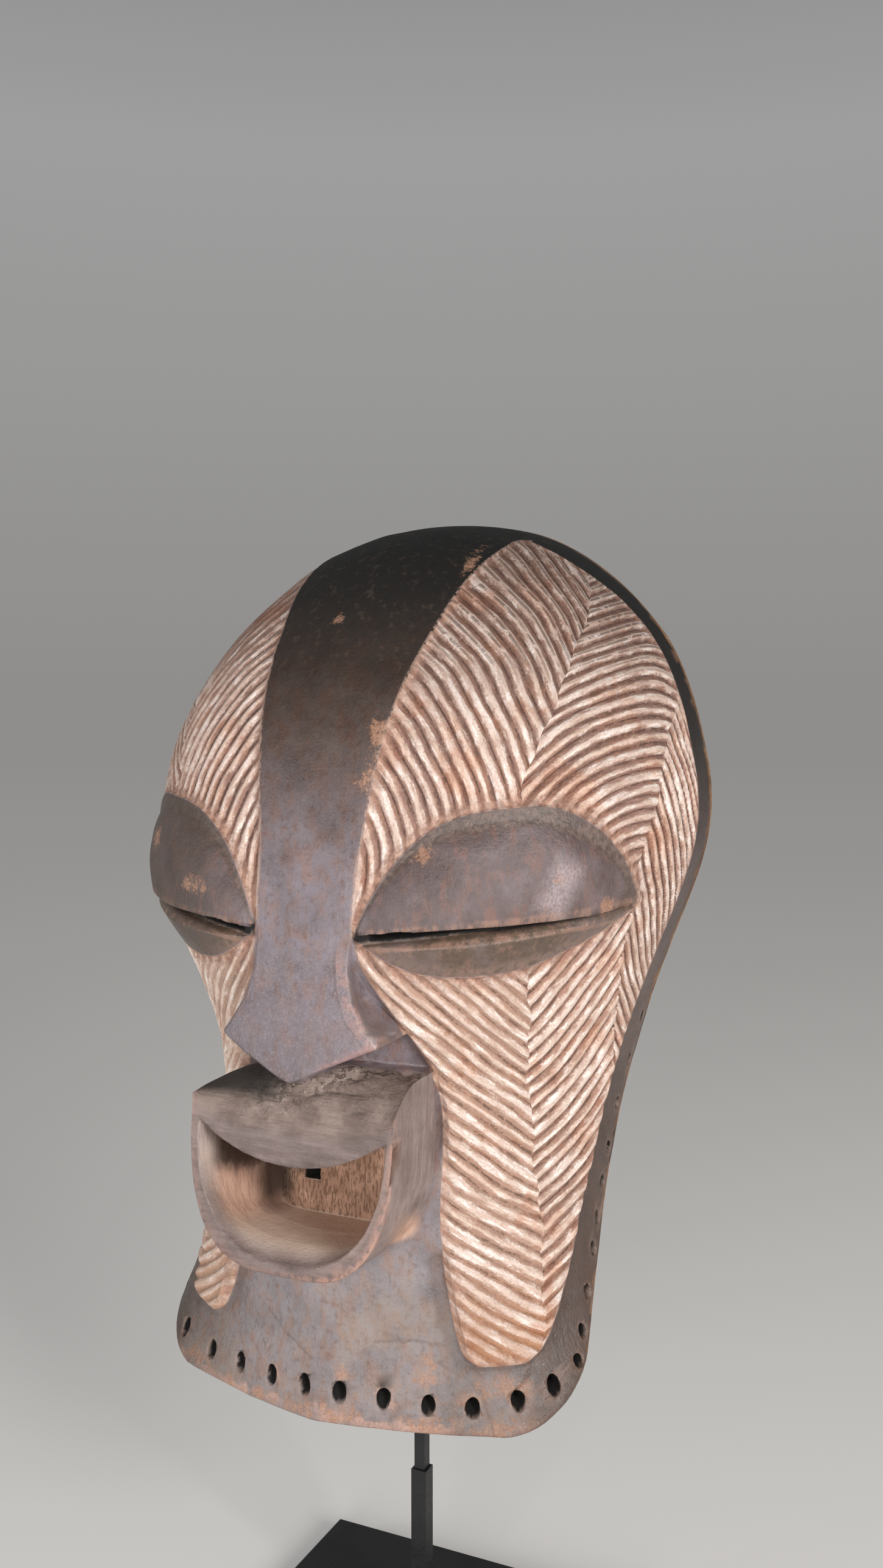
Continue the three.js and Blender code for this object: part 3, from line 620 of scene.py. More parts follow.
def lid_dome(a, b):
    """How high the upper lid's dome stands, with a flat margin left round it."""
    out = 2 * a - 1
    end = np.minimum(np.where(out > 0, out * LID_DOME["narrow"], -out), 1)
    limit = LID_DOME["reach"] - LID_DOME["lean"] * np.maximum(out, 0)
    along = (1 - end ** LID_DOME["ends"]) ** LID_DOME["end_round"]
    return along * np.maximum(1 - (b / limit) ** 2, 0) ** LID_DOME["top_round"]


def lid_body(side, across, along, height, front):
    """A lid from its front down to its root inside the wall."""
    face = eye_grid(side, across, along, lambda a, b: (height(a, b), front(a, b)))
    root = eye_grid(side, across, along, lambda a, b: (height(a, b), 0 * a - LID_ROOT))
    return block(face, root)


def upper_lid(side):
    lid = UPPER_LID

    def height(a, b):
        return slit_height(a) + (lid_reach(lid, a) + LID_OVERLAP) * b

    def front(a, b):
        return lid["edge"] + PANEL_PROUD + lid["bulge"] * lid_dome(a, b)

    return lid_body(side, np.linspace(0.012, 0.988, LID_COLUMNS), np.linspace(0, 1, 48), height, front)


def lower_lid(side):
    lid = LOWER_LID
    along = np.concatenate([np.linspace(1, LID_RIDGE, 20), [0.16, 0.12, 0.06, 0]])

    def height(a, b):
        top = slit_height(a) - gap_at(a) - LOWER_LID_DROP
        return top - (lid_reach(lid, a) - gap_at(a) + LID_OVERLAP) * b

    def front(a, b):
        bulge = lid["bulge"] * (1 - np.abs(2 * a - 1) ** 2) ** LOWER_LID_ROUND
        lip = LOWER_LID_LIP + (1 - LOWER_LID_LIP) * b / LID_RIDGE
        return lid["edge"] + PANEL_PROUD + bulge * np.where(b < LID_RIDGE, lip, (1 - b) / (1 - LID_RIDGE))

    return lid_body(side, np.linspace(0.03, 0.97, LID_COLUMNS), along, height, front)


def eye_slit(side):
    across = np.linspace(SLIT_START, SLIT_END, 40)

    def at_distance(distance):
        def place(a, b):
            opening = np.maximum(gap_at(a), SLIT_LEAST)
            rise = SLIT_SLANT * (UPPER_LID["bulge"] - distance)
            return slit_height(a) - opening * (1 - b) + rise, 0 * a + distance
        return place

    return block(*[eye_grid(side, across, [0, 1], at_distance(distance)) for distance in SLIT_DEPTHS])


def turn_after(s, distance):
    turns = np.linspace(0, math.pi / 2, 400)
    return math.copysign(float(np.interp(abs(distance), around(s + 0 * turns, turns), turns)), distance)


def hole_places():
    """Every lacing hole's centre, outward, sideways and upright directions, and share of the full size."""
    at = [(float(run_at(z)), turn_after(run_at(RIM_MIDDLE), distance), 1) for distance, z in FRONT_HOLES]
    for side in (-1, 1):
        for z in SIDE_HOLES:
            s = float(run_at(z))
            at.append((s, side * float(turn_from_back(s, HOLE_FROM_EDGE)), SIDE_HOLE_SHARE))
    places = []
    for s, t, share in at:
        s = np.array(s)
        t = np.array(t)
        normal = face_normal(s, t)
        side = np.cross([0, 0, 1], normal)
        side /= np.linalg.norm(side)
        places.append((face_point(s, t), normal, side, np.cross(normal, side), share))
    return places


def hole_body(place, seed):
    """An oval hole burned or cut through the wall, a little uneven, with a worn rim that opens outwards."""
    centre, normal, side, up, share = place
    angles = np.linspace(0, 2 * math.pi, HOLE_SIDES + 1)[:-1]
    wobble = 1 + 0.05 * np.sin(2 * angles + seed) + 0.04 * np.sin(3 * angles + 2.1 * seed)
    rings = []
    for depth, flare in HOLE_PROFILE:
        width = share * HOLE_WIDTH / 2 * flare * wobble
        tall = share * HOLE_HEIGHT / 2 * flare * wobble
        middle = centre + (normal - HOLE_SLANT * up) * depth
        ring = middle + np.outer(width * np.cos(angles), side) + np.outer(tall * np.sin(angles), up)
        rings.append(ring)
    points = np.concatenate([*rings, [rings[0].mean(0), rings[-1].mean(0)]])
    n = len(angles)
    top = len(points) - 2
    triangles = []
    for ring in range(len(rings) - 1):
        for i in range(n):
            j = (i + 1) % n
            a, b = ring * n + i, ring * n + j
            triangles += [(a, a + n, b + n), (a, b + n, b)]
    for i in range(n):
        j = (i + 1) % n
        triangles.append((top, i, j))
        low = (len(rings) - 1) * n
        triangles.append((top + 1, low + j, low + i))
    return points, np.array(triangles)


def join_or_cut(body, tool, operation):
    modifier = body.modifiers.new("cut", "BOOLEAN")
    modifier.operation = operation
    modifier.solver = "MANIFOLD"
    modifier.object = tool
    bpy.context.view_layer.update()
    evaluated = body.evaluated_get(bpy.context.evaluated_depsgraph_get())
    mesh = bpy.data.meshes.new_from_object(evaluated)
    body.modifiers.clear()
    old = body.data
    body.data = mesh
    bpy.data.meshes.remove(old)
    tool_mesh = tool.data
    bpy.data.objects.remove(tool)
    bpy.data.meshes.remove(tool_mesh)


def read_points(mesh, what):
    flat = np.zeros(len(mesh.vertices) * 3, np.float32)
    mesh.vertices.foreach_get(what, flat)
    return flat.reshape(-1, 3).astype(float)


def points_of(mesh):
    return read_points(mesh, "co")


def normals_of(mesh):
    return read_points(mesh, "normal")


def move_points(mesh, p):
    mesh.vertices.foreach_set("co", p.astype(np.float32).ravel())


def mask_body():
    body = outer_body()
    join_or_cut(body, nose_body(), "UNION")
    join_or_cut(body, mouth_body(), "UNION")
    for lid in (upper_lid, lower_lid):
        join_or_cut(body, mesh_object("lids", *several(lid(-1), lid(1))), "UNION")
    join_or_cut(body, inner_room(), "DIFFERENCE")
    join_or_cut(body, mouth_pocket(), "DIFFERENCE")
    join_or_cut(body, peg_hole(), "DIFFERENCE")
    join_or_cut(body, mesh_object("slits", *several(eye_slit(-1), eye_slit(1))), "DIFFERENCE")
    holes = [hole_body(place, seed) for seed, place in enumerate(HOLES)]
    join_or_cut(body, mesh_object("holes", *several(*holes)), "DIFFERENCE")
    return body


HOLES = hole_places()


def chart_of(points):
    """Run, turn and distance off the plain face of points near it."""
    x, y, z = points.T
    s = run_at(z)
    square = square_at(s)
    half = np.maximum(half_at(s), 1)
    deep = np.maximum(front_at(s) + back_at(s), 1)
    across = np.abs(x) / half
    along = np.maximum((back_at(s) - y) / deep, 0)
    t = np.sign(x) * np.arctan2(across ** (square / 2), along ** (square / 2))
    off = ((points - face_point(s, t)) * face_normal(s, t)).sum(1)
    return s, t, off


def along_eye(s, t):
    """How far a point lies from the eye's inner to its outer corner, as a share."""
    inner = turn_at(s, EYE_INNER_X)
    return (np.abs(t) - inner) / (EYE_OUTER_TURN - inner)


def panel_room(s, t, z):
    """How far inside its striped panel and outside its eye a point lies, and whether it is above the slit."""
    a = around(s, t)
    out = np.sin(np.abs(t)) ** (2 / SQUARE[0])
    rim = rim_height(out)
    level = HEIGHT[0] + (LEVEL_ABOVE_RIM - HEIGHT[0]) * (z - rim) / (LEVEL_ABOVE_RIM - rim)
    s_row = run_at(np.where(z < LEVEL_ABOVE_RIM, np.maximum(level, HEIGHT[0]), z))
    band_turn = turn_at(s_row, np.minimum(band_at(s_row), BAND_LIMIT * half_at(s_row)))
    border_turn = np.maximum(turn_from_back(s_row, border_width(height_at(s_row))), band_turn + PANEL_LEAST)
    share = (PANEL_BOTTOM - HEIGHT[0]) / (LEVEL_ABOVE_RIM - HEIGHT[0])
    bottom = rim + (LEVEL_ABOVE_RIM - rim) * share
    sides = np.minimum(a - around(s, band_turn), around(s, border_turn) - a)
    ends = np.minimum(z - bottom, run_at(PANEL_TOP) - s)
    corner = PANEL_CORNER - np.hypot(PANEL_CORNER - sides, PANEL_CORNER - (z - bottom))
    in_corner = (sides < PANEL_CORNER) * (z - bottom < PANEL_CORNER)
    along = along_eye(s, t)
    slit = slit_height(np.clip(along, 0, 1))
    above = z > slit
    reach = np.where(above, lid_reach(UPPER_LID, along), lid_reach(LOWER_LID, along))
    e = SHARE_STEP
    side_reach = np.where(above, lid_reach(UPPER_LID, along + e), lid_reach(LOWER_LID, along + e))
    slope = (side_reach - reach) / (e * EYE_LENGTH)
    eye = (np.abs(z - slit) - reach) / np.sqrt(1 + slope ** 2)
    beyond = np.maximum(-along, along - 1) * EYE_LENGTH
    eye = np.where(beyond > 0, np.hypot(beyond, z - slit), eye)
    return np.where(in_corner, corner, np.minimum(sides, ends)), eye, above


def distance_from(centre, a, z):
    return np.hypot(a - centre[0], z - centre[1])


def stripe_turns(a, z, above):
    """How many grooves lie between a zone's centre and a point, for the inner, middle and outer zone."""
    waver = 0.09 * np.sin(0.11 * a + 0.05 * z) + 0.07 * np.sin(0.13 * z - 0.08 * a + 1)
    waver += 0.04 * np.sin(0.31 * z)
    inner = np.where(above, distance_from(BROW_CENTRE, a, z), distance_from(CHEEK_CENTRE, a, z))
    middle = np.where(above, distance_from(TEMPLE_CENTRE, a, z), distance_from(JAW_CENTRE, a, z))
    outer = distance_from(EDGE_CENTRE, a, z)
    return [d / PITCH + waver for d in (inner, middle, outer)]


def seam_distances(a, z, above):
    """How far outside the first and the second seam of the panel a point lies."""
    waver = 0.8 * np.sin(0.17 * z) + 0.5 * np.sin(0.41 * z + 1)
    first = np.where(above, np.interp(z, *BROW_SEAM), np.interp(z, *CHEEK_SEAM))
    return a - first + waver, a - np.interp(z, *OUTER_SEAM) + 0.6 * waver


def ridge_height(turns):
    """Height of the carving, 1 on the rounded ridges and 0 in the grooves."""
    x = 2 * np.abs(turns - np.floor(turns) - 0.5)
    return (1 - smooth(x, 0.3, 0.82)) * (1 - 0.16 * x * x)


def carve(mesh, wear, pitted, split):
    """Cuts the grooves and keeps what the finish needs to know about each point, mostly as shares."""
    # the grooves stop short of the panels' edges and of the eyes
    p = points_of(mesh)
    s, t, off = chart_of(p)
    z = p[:, 2]
    a = around(s, t)
    room, eye, above = panel_room(s, t, z)
    outside = off > -4.2
    turns = stripe_turns(a, z, above)
    first, second = seam_distances(a, z, above)
    chosen = np.where(second > 0, turns[2], np.where(first > 0, turns[1], turns[0]))
    margin = np.minimum(room - 0.5, eye - np.where(above, 2.6, 0.8))
    strength = smooth(margin, 0, 1.4) * outside * (np.abs(off - 1) < 3)
    uneven = 1 + 0.16 * np.sin(0.23 * a + 0.4 * z) * np.sin(0.19 * z - 0.31 * a)
    depth = GROOVE_DEPTH * uneven * strength * (1 - ridge_height(chosen))
    p -= face_normal(s, t) * depth[:, None]
    move_points(mesh, p)

    # what belongs to the nose, to the mouth's box and to its pocket
    x = p[:, 0]
    y = p[:, 1]
    front = mouth_front(z)
    raised = smooth(off, 1.6, 3.2) * (y < -118)
    nose_line = NOSE_TIP_HEIGHT + (NOSE_WING_HEIGHT - NOSE_TIP_HEIGHT) * np.abs(x) / NOSE_HALF[0]
    nose_half = np.interp(z, NOSE_ROWS, NOSE_HALF) + NOSE_FLARE + 1
    nose = raised * smooth(z, nose_line - 1.5, nose_line - 0.3) * (z < NOSE_TOP) * (np.abs(x) < nose_half)
    box = raised * (1 - nose) * smooth(z, 86, 92) * (z < 190)
    inward = np.clip((y - front) / (POCKET_BACK - front), 0, 1)
    within = 1 - smooth(beyond_outline(pocket_outline(inward), x, z), 2.5, 5)
    pocket = smooth(y - front, 3, 12) * (y < POCKET_BACK + 1) * within * (z < POCKET["lip_corner"] + 1)

    # the box's outer rim, the pocket's rim with its dish, the nose's right edge and the lip's top
    forward_edge = np.maximum(y - front, 0)
    rim_outside = 1 - smooth(np.hypot(beyond_outline(BOX, x, z), forward_edge), 0.6, 2.6)
    rim_outside *= box * (z < BOX["lip_corner"]) * (0.35 + 0.65 * smooth(x, -12, 24))
    beyond_edge = beyond_outline(MOUTH_EDGE, x, z)
    rim_inside = 1 - smooth(np.hypot(beyond_edge, forward_edge), 0.8, 3)
    rim_inside *= box * (z < 139) * smooth(x, 5, 25)
    dish = box * (1 - smooth(beyond_edge, -0.6, 1.2)) * smooth(y - front, 0.2, 1.6)
    dish *= within * (1 - smooth(z, 132, 138))
    nose_room = np.clip(np.interp(z, NOSE_ROWS, NOSE_HALF) - x, -10, 30)
    lip_top = box * smooth(normals_of(mesh)[:, 2], 0.15, 0.4) * (z > 142)
    # the lip's top under the left of the nose, where the nose's shadow is painted on
    nose_shadow = lip_top * smooth(y - front, 2.5, 6) * (1 - smooth(x, -14, 0))

    # the lacing holes' rims, and the painted shade that colours the insides of the holes and the slits black
    hole = np.zeros(len(p))
    opening_shade = np.zeros(len(p))
    for centre, normal, side, up, share in HOLES:
        d = p - centre
        deep = d @ normal
        upright = d @ up + HOLE_SLANT * deep
        reach = np.hypot(d @ side / (HOLE_WIDTH / 2), upright / (HOLE_HEIGHT / 2)) / share
        hole = np.maximum(hole, (1 - smooth(reach, 1.05, 1.6)) * smooth(deep, -5, -3.4))
        within_hole = reach < np.where(deep < -0.8, 1.2, 1.05)
        opening_shade = np.maximum(opening_shade, within_hole * (1 - smooth(deep, -1, 0.1)) * smooth(deep, -22, -20))
    along = along_eye(s, t)
    slit = slit_height(np.clip(along, 0, 1))
    over_slit = z - slit
    slit += SLIT_SLANT * (UPPER_LID["bulge"] - off)
    in_slit = (along > 0) * (along < SLIT_END + 0.02) * (z < slit + 0.4) * (z > slit - SLIT_HEIGHT - 0.8)
    opening_shade = np.maximum(opening_shade, in_slit * (1 - smooth(off, 1, 3.5)) * (off > -12))

    # the hollow side with the back edges, and the upper lid's dome
    inside = np.maximum(1 - smooth(off, -6, -3.4), smooth(y - (back_at(s) - 1.2), 0, 0.6))
    inside *= (1 - box) * (1 - nose) * (1 - pocket)
    up_lid = np.clip(over_slit / (lid_reach(UPPER_LID, along) + LID_OVERLAP), 0, 1)
    dome = np.where(above, lid_dome(np.clip(along, 0, 1), up_lid), 0)

    store(mesh, "place", a * np.sign(x), z, dish)
    store(mesh, "turns", *turns)
    store(mesh, "seams", first, second, np.minimum(room, 30))
    store(mesh, "eyes", eye, dome, hole)
    store(mesh, "zones", box, pocket, inside)
    store(mesh, "wear", wear, opening_shade, bare_wood(a * np.sign(x), z))
    store(mesh, "parts", nose, pitted, over_slit)
    store(mesh, "edges", rim_outside, rim_inside, nose_room)
    store(mesh, "lip", lip_top, split, nose_shadow)


def bare_wood(a, z):
    """How far the dark surface is rubbed through round each bare spot, 1 at its middle."""
    bare = 0 * a
    for spot_a, spot_z, wide, tall in BARE_SPOTS:
        bare = np.maximum(bare, np.exp(-((a - spot_a) / wide) ** 2 - ((z - spot_z) / tall) ** 2))
    return bare


def store(mesh, name, x, y, z):
    attribute = mesh.attributes.new(name, "FLOAT_VECTOR", "POINT")
    attribute.data.foreach_set("vector", np.stack([x, y, z], 1).astype(np.float32).ravel())


def thin_out(body, limit):
    """Joins triangles where the surface is plain until no more than the limit are left."""
    mesh = body.data
    triangles = sum(len(face.vertices) - 2 for face in mesh.polygons)
    modifier = body.modifiers.new("thin", "DECIMATE")
    modifier.ratio = limit / triangles
    bpy.context.view_layer.update()
    evaluated = body.evaluated_get(bpy.context.evaluated_depsgraph_get())
    thinned = bpy.data.meshes.new_from_object(evaluated)
    body.modifiers.clear()
    body.data = thinned
    bpy.data.meshes.remove(mesh)


def tone(red, green, blue):
    """A colour from its screen values."""
    channels = [c / 255 for c in (red, green, blue)]
    linear = [c / 12.92 if c < 0.04045 else ((c + 0.055) / 1.055) ** 2.4 for c in channels]
    return (*linear, 1)


class Value:
    """The output of a material's node. Adding, covering and so on each add a node to the same material."""

    def __init__(self, finish, socket):
        self.finish = finish
        self.socket = socket

    def __add__(self, other):
        return self.finish.math("ADD", self, other)

    def __radd__(self, other):
        return self.finish.math("ADD", other, self)

    def __sub__(self, other):
        return self.finish.math("SUBTRACT", self, other)

    def __rsub__(self, other):
        return self.finish.math("SUBTRACT", other, self)

    def __mul__(self, other):
        return self.finish.math("MULTIPLY", self, other)

    def __truediv__(self, other):
        return self.finish.math("DIVIDE", self, other)

    def __abs__(self):
        return self.finish.math("ABSOLUTE", self)

    def cover(self, amount, colour):
        """Turns this colour into a mix of itself and another, by an amount from 0 to 1."""
        self.socket = self.finish.mix(amount, self, colour).socket

    def coat(self, amount, red, green, blue):
        self.cover(amount, tone(red, green, blue))


def greater(a, b):
    return a.finish.math("MAXIMUM", a, b)


class Finish:
    """A material whose nodes are added one call at a time. Each call gives back the new node's output."""

    def __init__(self, name):
        self.material = bpy.data.materials.new(name)
        self.material.use_nodes = True
        self.tree = self.material.node_tree
        self.surface = self.tree.nodes["Principled BSDF"]

    def put(self, socket, value):
        if isinstance(value, Value):
            self.tree.links.new(value.socket, socket)
        else:
            socket.default_value = value

    def set(self, name, value):
        """Gives the surface itself one of its values."""
        self.put(self.surface.inputs[name], value)

    def node(self, kind, inputs, out=0, **settings):
        made = self.tree.nodes.new("ShaderNode" + kind)
        for key, value in settings.items():
            setattr(made, key, value)
        for key, value in inputs.items():
            self.put(made.inputs[key], value)
        return Value(self, made.outputs[out])

    def math(self, operation, a, b=0):
        return self.node("Math", {0: a, 1: b}, operation=operation)

    def step(self, x, low, high):
        """0 below low, 1 above high and smooth between them; the other way round where low is above high."""
        return self.node("MapRange", {0: x, 1: low, 2: high}, interpolation_type="SMOOTHSTEP")

    def mix(self, factor, a, b, blend="MIX"):
        return self.node("Mix", {0: factor, 6: a, 7: b}, out=2, data_type="RGBA", blend_type=blend)

    def tint(self, colour, by):
        return self.mix(1, colour, by, "MULTIPLY")

    def choose(self, factor, a, b):
        return self.node("Mix", {0: factor, 2: a, 3: b}, data_type="FLOAT")

    def noise(self, scale, detail=3, roughness=0.55, squeeze=None, at=None):
        """Cloudy noise over the object in millimetres, squeezed along each axis by the numbers given."""
        at = at or self.mm
        if squeeze:
            at = self.node("Mapping", {"Vector": at, "Scale": squeeze})
        inputs = {"Vector": at, "Scale": scale, "Detail": detail, "Roughness": roughness}
        return self.node("TexNoise", inputs)

    def ramp(self, x, *stops):
        """Runs evenly from colour to colour. Each stop is its place and its colour's screen values, or one
        plain level."""
        made = self.tree.nodes.new("ShaderNodeValToRGB")
        steps = made.color_ramp.elements
        steps.remove(steps[1])
        for k, (at, *level) in enumerate(stops):
            element = steps[0] if k == 0 else steps.new(at)
            element.position = at
            element.color = tone(*level) if len(level) == 3 else (*level * 3, 1)
        self.put(made.inputs[0], x)
        return Value(self, made.outputs[0])

    def kept(self, name):
        """The three numbers stored with each point under a name."""
        return self.split(self.node("Attribute", {}, out=1, attribute_name=name))

    def split(self, vector):
        made = self.tree.nodes.new("ShaderNodeSeparateXYZ")
        self.put(made.inputs[0], vector)
        return [Value(self, output) for output in made.outputs]

    def joined(self, x, y, z):
        return self.node("CombineXYZ", {0: x, 1: y, 2: z})

    def near_line(self, x, y, start, end, waver):
        """Distance from the point x, y to a stretch of line, made to waver."""
        along = Vector(end) - Vector(start)
        way = along / along.length
        dx = x - start[0]
        dy = y - start[1]
        run = dx * way.x + dy * way.y
        aside = abs(dy * way.x - dx * way.y + waver)
        return greater(aside, greater(run * -1, run - along.length))

    def use_millimetres(self):
        coordinates = self.node("TexCoord", {}, out=3)
        self.mm = self.node("VectorMath", {0: coordinates, 3: 1000}, operation="SCALE")


def wood_finish():
    f = Finish("carved_wood")
    f.use_millimetres()
    across, z, dish = f.kept("place")
    turns = f.kept("turns")
    first, second, room = f.kept("seams")
    eye, dome, hole = f.kept("eyes")
    box, pocket, inside = f.kept("zones")
    wear, opening_shade, bare = f.kept("wear")
    nose, pitted, over_slit = f.kept("parts")
    rim_outside, rim_inside, nose_room = f.kept("edges")
    lip_top, split, nose_shadow = f.kept("lip")
    facing = f.split(f.node("TexCoord", {}, out=1))
    px, py, pz = f.split(f.mm)

    broad = f.noise(0.018)
    cloudy = f.noise(0.07, 5, 0.62)
    patchy = f.noise(0.22, 5, 0.65, (1, 1, 0.55))
    grain = f.noise(0.9, 4, 0.6, (1, 1, 0.12))
    speck = f.noise(1.1, 3, 0.7)
    dirt = f.noise(0.45, 4, 0.65)

    # the smooth dark wood of crest, nose and collar, blacker towards the crown
    patina = f.ramp(z / HEIGHT[-1],
                    (0.1, 150, 136, 132), (0.25, 152, 142, 143), (0.4, 134, 120, 121), (0.5, 136, 123, 127),
                    (0.62, 142, 129, 133), (0.69, 116, 101, 101), (0.76, 90, 73, 66), (0.83, 60, 46, 38),
                    (0.9, 24, 18, 13), (0.96, 5, 4, 3))
    shade = f.ramp(cloudy, (0.3, 200, 198, 196), (0.5, 232, 231, 231), (0.7, 255, 255, 255))
    patina = f.tint(patina, shade)
    warm = f.step(patchy, 0.44, 0.62)
    patina = f.mix(warm, f.tint(patina, tone(246, 250, 255)), f.tint(patina, tone(255, 236, 224)))
    streaks = f.step(grain, 0.5, 0.72)
    patina.cover(streaks * 0.3, f.tint(patina, tone(196, 184, 176)))
    soiled = f.step(dirt, 0.5, 0.68)
    patina.cover(soiled * 0.55, f.tint(patina, tone(214, 190, 176)))
    olive_cloud = f.step(f.noise(0.035, 4, 0.6), 0.46, 0.6) * f.step(z, 150, 120)
    patina.coat(olive_cloud * 0.35, 134, 116, 98)
    high_up = f.step(z, 235, 275)
    flecks = f.step(f.noise(0.7, 3, 0.6, (1, 1, 0.4)), 0.66, 0.74)
    flecks *= 0.25 - high_up * 0.13
    flecks *= 1 - nose * 0.7
    patina.cover(flecks, f.mix(0.5, patina, tone(176, 124, 98)))
    scuffs = f.step(f.noise(0.3, 5, 0.72, (1, 1, 0.5)), 0.54, 0.66)
    patina.coat(scuffs * high_up * 0.25, 92, 74, 62)
    # hollows are darkened: dirt in them, and painted shade where shade falls in them
    hollow_dirt_and_shade = f.step(wear, -0.25, -0.9)
    patina.coat(hollow_dirt_and_shade * 0.35, 70, 54, 46)

    # worn edges show a pinkish brown, and rubbed spots orange wood
    ragged_wear = (patchy - 0.5) * 2.2
    wear_here = f.step(wear + ragged_wear, 0.62, 1.15)
    along_rim = f.step(z, 52, 45) * f.step(f.noise(0.04, 3, 0.5), 0.54, 0.44)
    wear_here *= 1 - along_rim * 0.8
    back_edge = f.step(room, -10, -14) * f.step(z, 66, 90)
    wear_here *= 1 - back_edge
    kept_dark = nose * f.step(px, 10, -2)
    wear_here *= 1 - kept_dark * 0.8
    worn_colour = f.ramp(speck, (0.35, 158, 122, 108), (0.6, 190, 156, 142))
    patina.cover(wear_here * 0.75, worn_colour)
    ragged_bare = (dirt + patchy - 1) * 1.2
    ragged_bare += (speck - 0.5) * 0.9
    bare_here = f.step(bare + ragged_bare, 0.4, 0.95)
    bare_here *= f.step(bare, 0.08, 0.3)
    bare_colour = f.ramp(speck, (0.35, 146, 106, 86), (0.65, 180, 138, 112))
    patina.cover(bare_here * 0.75, bare_colour)

    # a thin pale line runs along the crest's edge, and the plain border is a browner grey
    distance = abs(across)
    crest_side = f.step(z, 190, 215) * f.step(distance, 62, 56)
    line = f.step(abs(room + 0.3), 1, 0.35) * f.step(dirt, 0.38, 0.52)
    patina.coat(line * crest_side * 0.6, 170, 140, 124)
    border = f.step(room, -0.2, -1.2) * f.step(distance, 70, 84)
    border_colour = f.mix(f.step(z, 195, 285), tone(96, 79, 71), tone(8, 6, 5))
    border_colour = f.tint(border_colour, shade)
    patina.cover(border * 0.85, border_colour)
    nose_side = nose * f.step(abs(facing[0]), 0.55, 0.85)
    patina.coat(nose_side * 0.65, 98, 83, 79)
    # the nose's right edge is a narrow rubbed bevel, and its lower right edge is worn pink
    nose_front = nose * f.step(abs(facing[0]), 0.8, 0.6)
    bevel_height = nose_front * f.step(z, 216, 200)
    bevel_line = f.step(abs(nose_room - 5), 0.9, 0.3)
    patina.coat(bevel_line * bevel_height * 0.45, 92, 74, 72)
    bevel = f.step(nose_room, 4.9, 4.4) * f.step(patchy + dirt, 0.8, 1.08)
    patina.coat(bevel * bevel_height * 0.55, 168, 134, 128)
    over_edge = abs(px) * ((NOSE_WING_HEIGHT - NOSE_TIP_HEIGHT) / NOSE_HALF[0])
    over_edge = z - NOSE_TIP_HEIGHT - over_edge
    over_edge += (patchy - 0.5) * 6
    low_edge = f.step(over_edge, 3.2, 1.6) * f.step(px, 6, 16) * nose_front
    patina.coat(low_edge * 0.6, 166, 122, 114)
    rubbed_end = f.step(nose_room, 1.8, 0.8) * f.step(z, 178, 175.5)
    patina.coat(rubbed_end * nose_front * 0.6, 206, 192, 190)
    low_nose = nose_front * f.step(z, 196, 176)
    patina.coat(low_nose * 0.3, 108, 98, 102)
    blotches = nose_front * f.step(f.noise(0.13, 5, 0.7), 0.47, 0.6)
    patina.coat(blotches * 0.4, 122, 116, 122)
    patina.coat(f.step(speck, 0.53, 0.66) * nose_front * 0.2, 178, 162, 163)
    patina.coat(f.step(speck, 0.47, 0.34) * nose_front * 0.3, 92, 80, 80)
    outer_neck = f.step(abs(px), 30, 56) * f.step(z, 160, 130)
    patina.cover(outer_neck * 0.6, f.tint(patina, tone(204, 198, 192)))
    for crack in CRACKS:
        for start, end in zip(crack, crack[1:]):
            near = f.near_line(across, z, start, end, (patchy - 0.5) * 3)
            patina.coat(f.step(near, 0.9, 0.2) * 0.45, 96, 78, 70)

    # stripes: pale clay on the ridges, brown wood in the grooves
    chosen = f.choose(f.math("GREATER_THAN", first, 0), turns[0], turns[1])
    chosen = f.choose(f.math("GREATER_THAN", second, 0), chosen, turns[2])
    fraction = f.math("FRACT", chosen)
    number = f.math("FLOOR", chosen)
    x = abs(fraction - 0.5) * 2
    each = f.node("TexWhiteNoise", {"W": number}, noise_dimensions="1D")
    lengthwise = f.joined(chosen * 3.2, z * 0.12, across * 0.12)
    streak = f.noise(1, 4, 0.62, at=lengthwise)
    ragged = (streak - 0.5) * 1.25
    ragged += (patchy - 0.5) * 0.5
    ragged += (speck - 0.5) * 0.5
    ragged += (each - 0.5) * 0.25
    ridge = f.step(x + ragged, 0.72, 0.24)
    clay = f.ramp(cloudy, (0.3, 200, 174, 158), (0.5, 216, 194, 181), (0.7, 230, 214, 206))
    clay.coat(f.step(streak, 0.46, 0.38) * 0.75, 244, 234, 228)
    tinted = f.step(each, 0.55, 0.9) * f.step(cloudy, 0.4, 0.56)
    clay.coat(tinted * 0.35, 206, 160, 128)
    clay.coat(f.step(speck, 0.5, 0.66) * 0.4, 160, 124, 108)
    clay.coat(f.step(streak, 0.52, 0.6) * 0.35, 172, 136, 118)
    ground = f.ramp(patchy, (0.3, 118, 88, 78), (0.5, 142, 110, 98), (0.7, 164, 128, 112))
    tan = f.step(cloudy, 0.44, 0.62)
    ground.coat(tan * 0.4, 162, 116, 90)
    low_panel = f.step(z, 208, 190) * (0.25 + f.step(first, 2, -2) * 0.35)
    ground.coat(low_panel, 180, 146, 126)
    # painted shade along the bottoms of the grooves, broken up by noise
    groove_bottom_shade = f.step(x + ragged, 0.82, 1.02) * f.step(dirt, 0.36, 0.5)
    ground.coat(groove_bottom_shade * 0.7, 74, 52, 44)
    # a thin painted shadow line along one side of each groove, left out low on the panels
    groove_side_shade = abs(f.math("FRACT", chosen + 0.42) - 0.5)
    groove_side_shade = f.step(groove_side_shade + (streak - 0.5) * 0.16, 0.075, 0.035)
    groove_side_shade *= f.step(patchy, 0.42, 0.52)
    groove_side_shade *= 1 - low_panel
